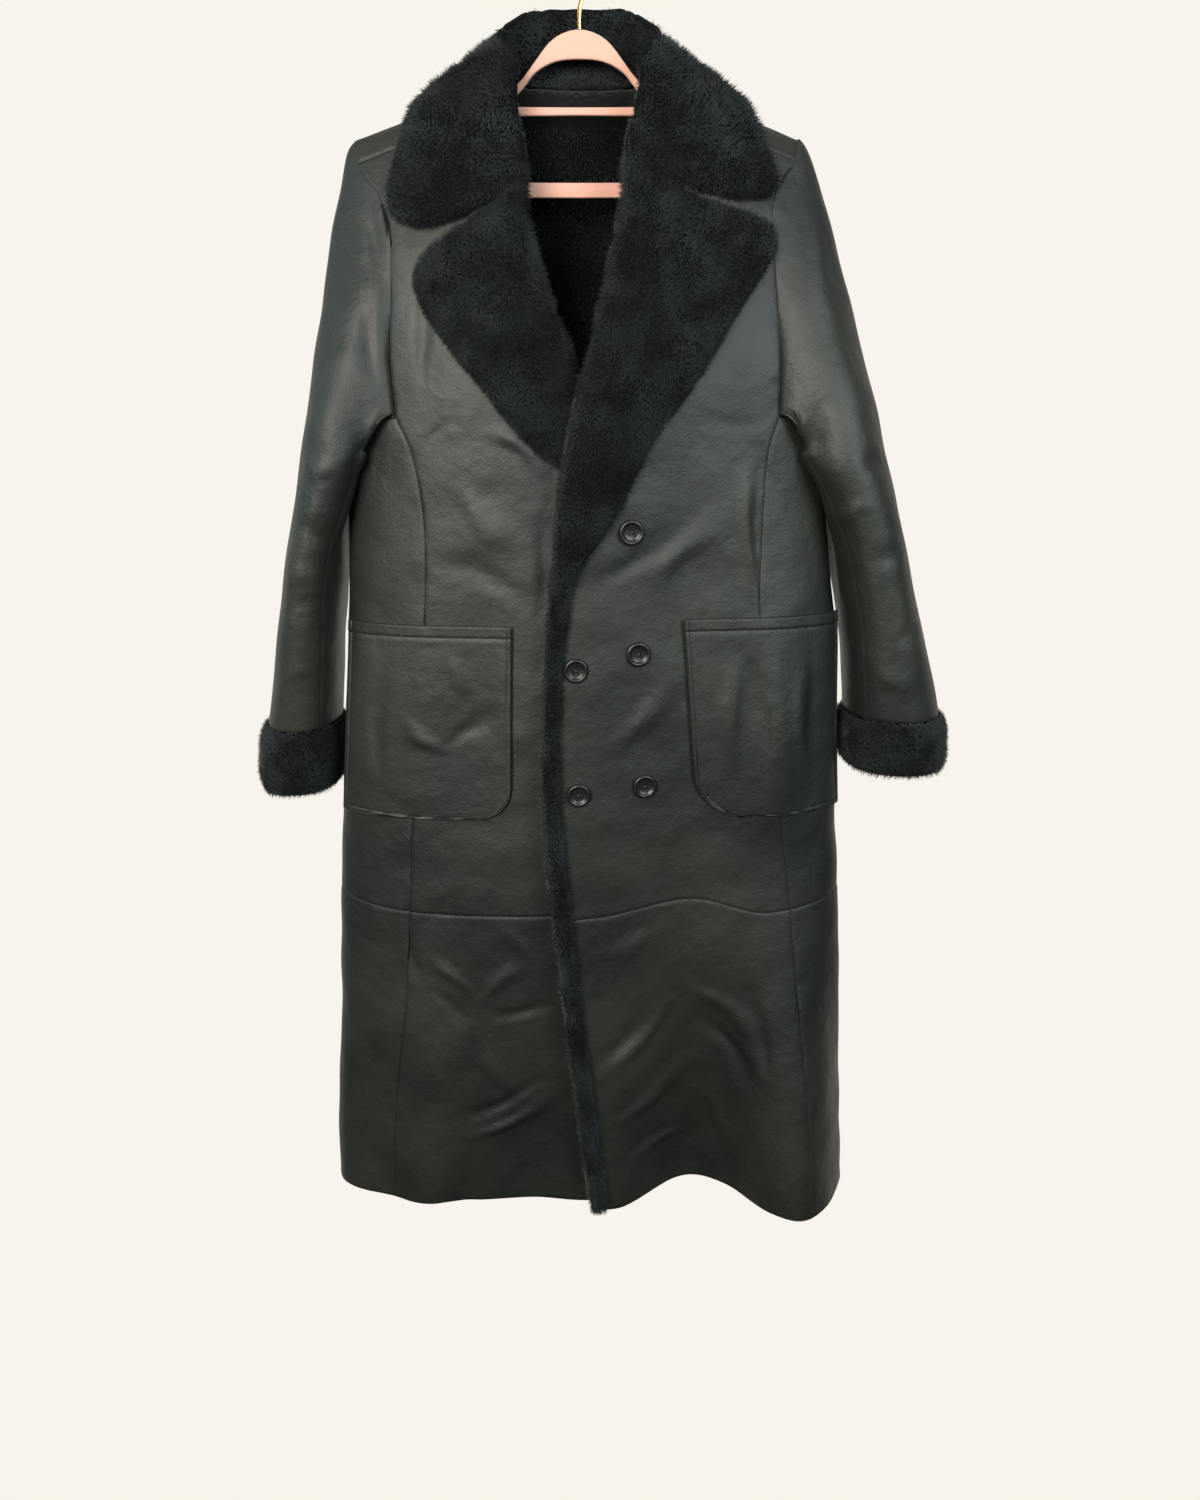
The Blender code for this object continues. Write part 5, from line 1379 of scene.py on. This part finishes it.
# --- light, camera and stage --------------------------------------------------------------
# Soft studio panels, in watts: a warm key from the left, a cool fill from the right, a cool
# rim along the right sleeve and a weak one from above.
Lamp = namedtuple("Lamp", "name place target size power colour")
LAMPS = table(Lamp, (
    ("key", (-0.7, -1.9, 0.15), (-0.02, 0, -0.45), 1.3, 62, "fffaf0"),
    ("fill", (1.2, -1.7, 0.1), (0.05, 0, -0.45), 1.2, 38, "e2f4f4"),
    ("rim", (-1.9, -0.5, 0.1), (0, 0, -0.5), 1.2, 16, "c2e6ea"),
    ("top", (0.1, -0.6, 1.7), (0, 0, -0.4), 1.2, 10, "eaf6f8"),
))


def area_light(lamp):
    data = bpy.data.lights.new(lamp.name, "AREA")
    data.shape, data.size, data.energy = "DISK", lamp.size, lamp.power
    data.color = hex_colour(lamp.colour)[:3]
    made = put_in_scene(lamp.name, data)
    made.location = lamp.place
    aim = Vector(lamp.target) - Vector(lamp.place)
    made.rotation_euler = aim.to_track_quat("-Z", "Y").to_euler()


def make_stage():
    """A self-lit cream screen, hung well behind the coat and as even as the photo's ground."""
    mesh = bmesh.new()
    bmesh.ops.create_grid(mesh, x_segments=1, y_segments=1, size=8.0)
    bmesh.ops.rotate(mesh, verts=mesh.verts, cent=(0, 0, 0),
                     matrix=Matrix.Rotation(math.radians(90), 3, "X"))
    bmesh.ops.translate(mesh, verts=mesh.verts, vec=(0, 2.6, -0.6))
    data = from_bmesh("backdrop", mesh)
    made = put_in_scene("backdrop", data)
    cream = hex_colour("f8f3eb")
    data.materials.append(new_material("cream_screen", {
        "Base Color": (0, 0, 0, 1), "Roughness": 1.0, "Specular IOR Level": 0.0,
        "Emission Color": cream, "Emission Strength": 1.0})[0])


def make_camera():
    """The camera that was fitted to the photo: its lens, its place and how far it looks down."""
    data = bpy.data.cameras.new("camera")
    data.lens, data.sensor_width, data.sensor_fit = 27.6, 36.0, "AUTO"
    data.clip_end = 50
    made = put_in_scene("camera", data)
    made.location = (0.0191, -1.2, -0.4027)
    made.rotation_euler = (math.radians(73), 0, 0)
    bpy.context.scene.camera = made


leather, lining = leather_material(), lining_material()
fur_hair, fur_hide = fur_hair_material(), fur_hide_material()
resin, sewing_thread = button_material(), thread_material()
flocking, brass_plate = flocking_material(), brass_plate_material()

make_camera()
make_stage()
for lamp in LAMPS:
    area_light(lamp)
bpy.context.scene.view_settings.view_transform = "Standard"

make_body()
for which, seed in (("right", 40), ("left", 44)):
    last_row, row_before = make_sleeve(which)
    make_cuff(which, last_row, row_before, 25000, seed)
    make_pocket(which)
make_lapel("lapel_right", LAPEL_RIGHT, False, 23000, 30)
make_lapel("facing_left", FACING_LEFT, True, 42000, 34)
make_collar()
make_back_lining()
for index, (button_x, button_z) in enumerate(BUTTONS, start=1):
    make_button(index, button_x, button_z)
make_hanger()
for cut in CUTS:
    on_it = [bpy.data.objects[cut.piece.replace("_hide", "_fur")]] if "_hide" in cut.piece else []
hook = frame["nodes"]["hanger_hook"]
hook.material_slots[0].material = brass_plate
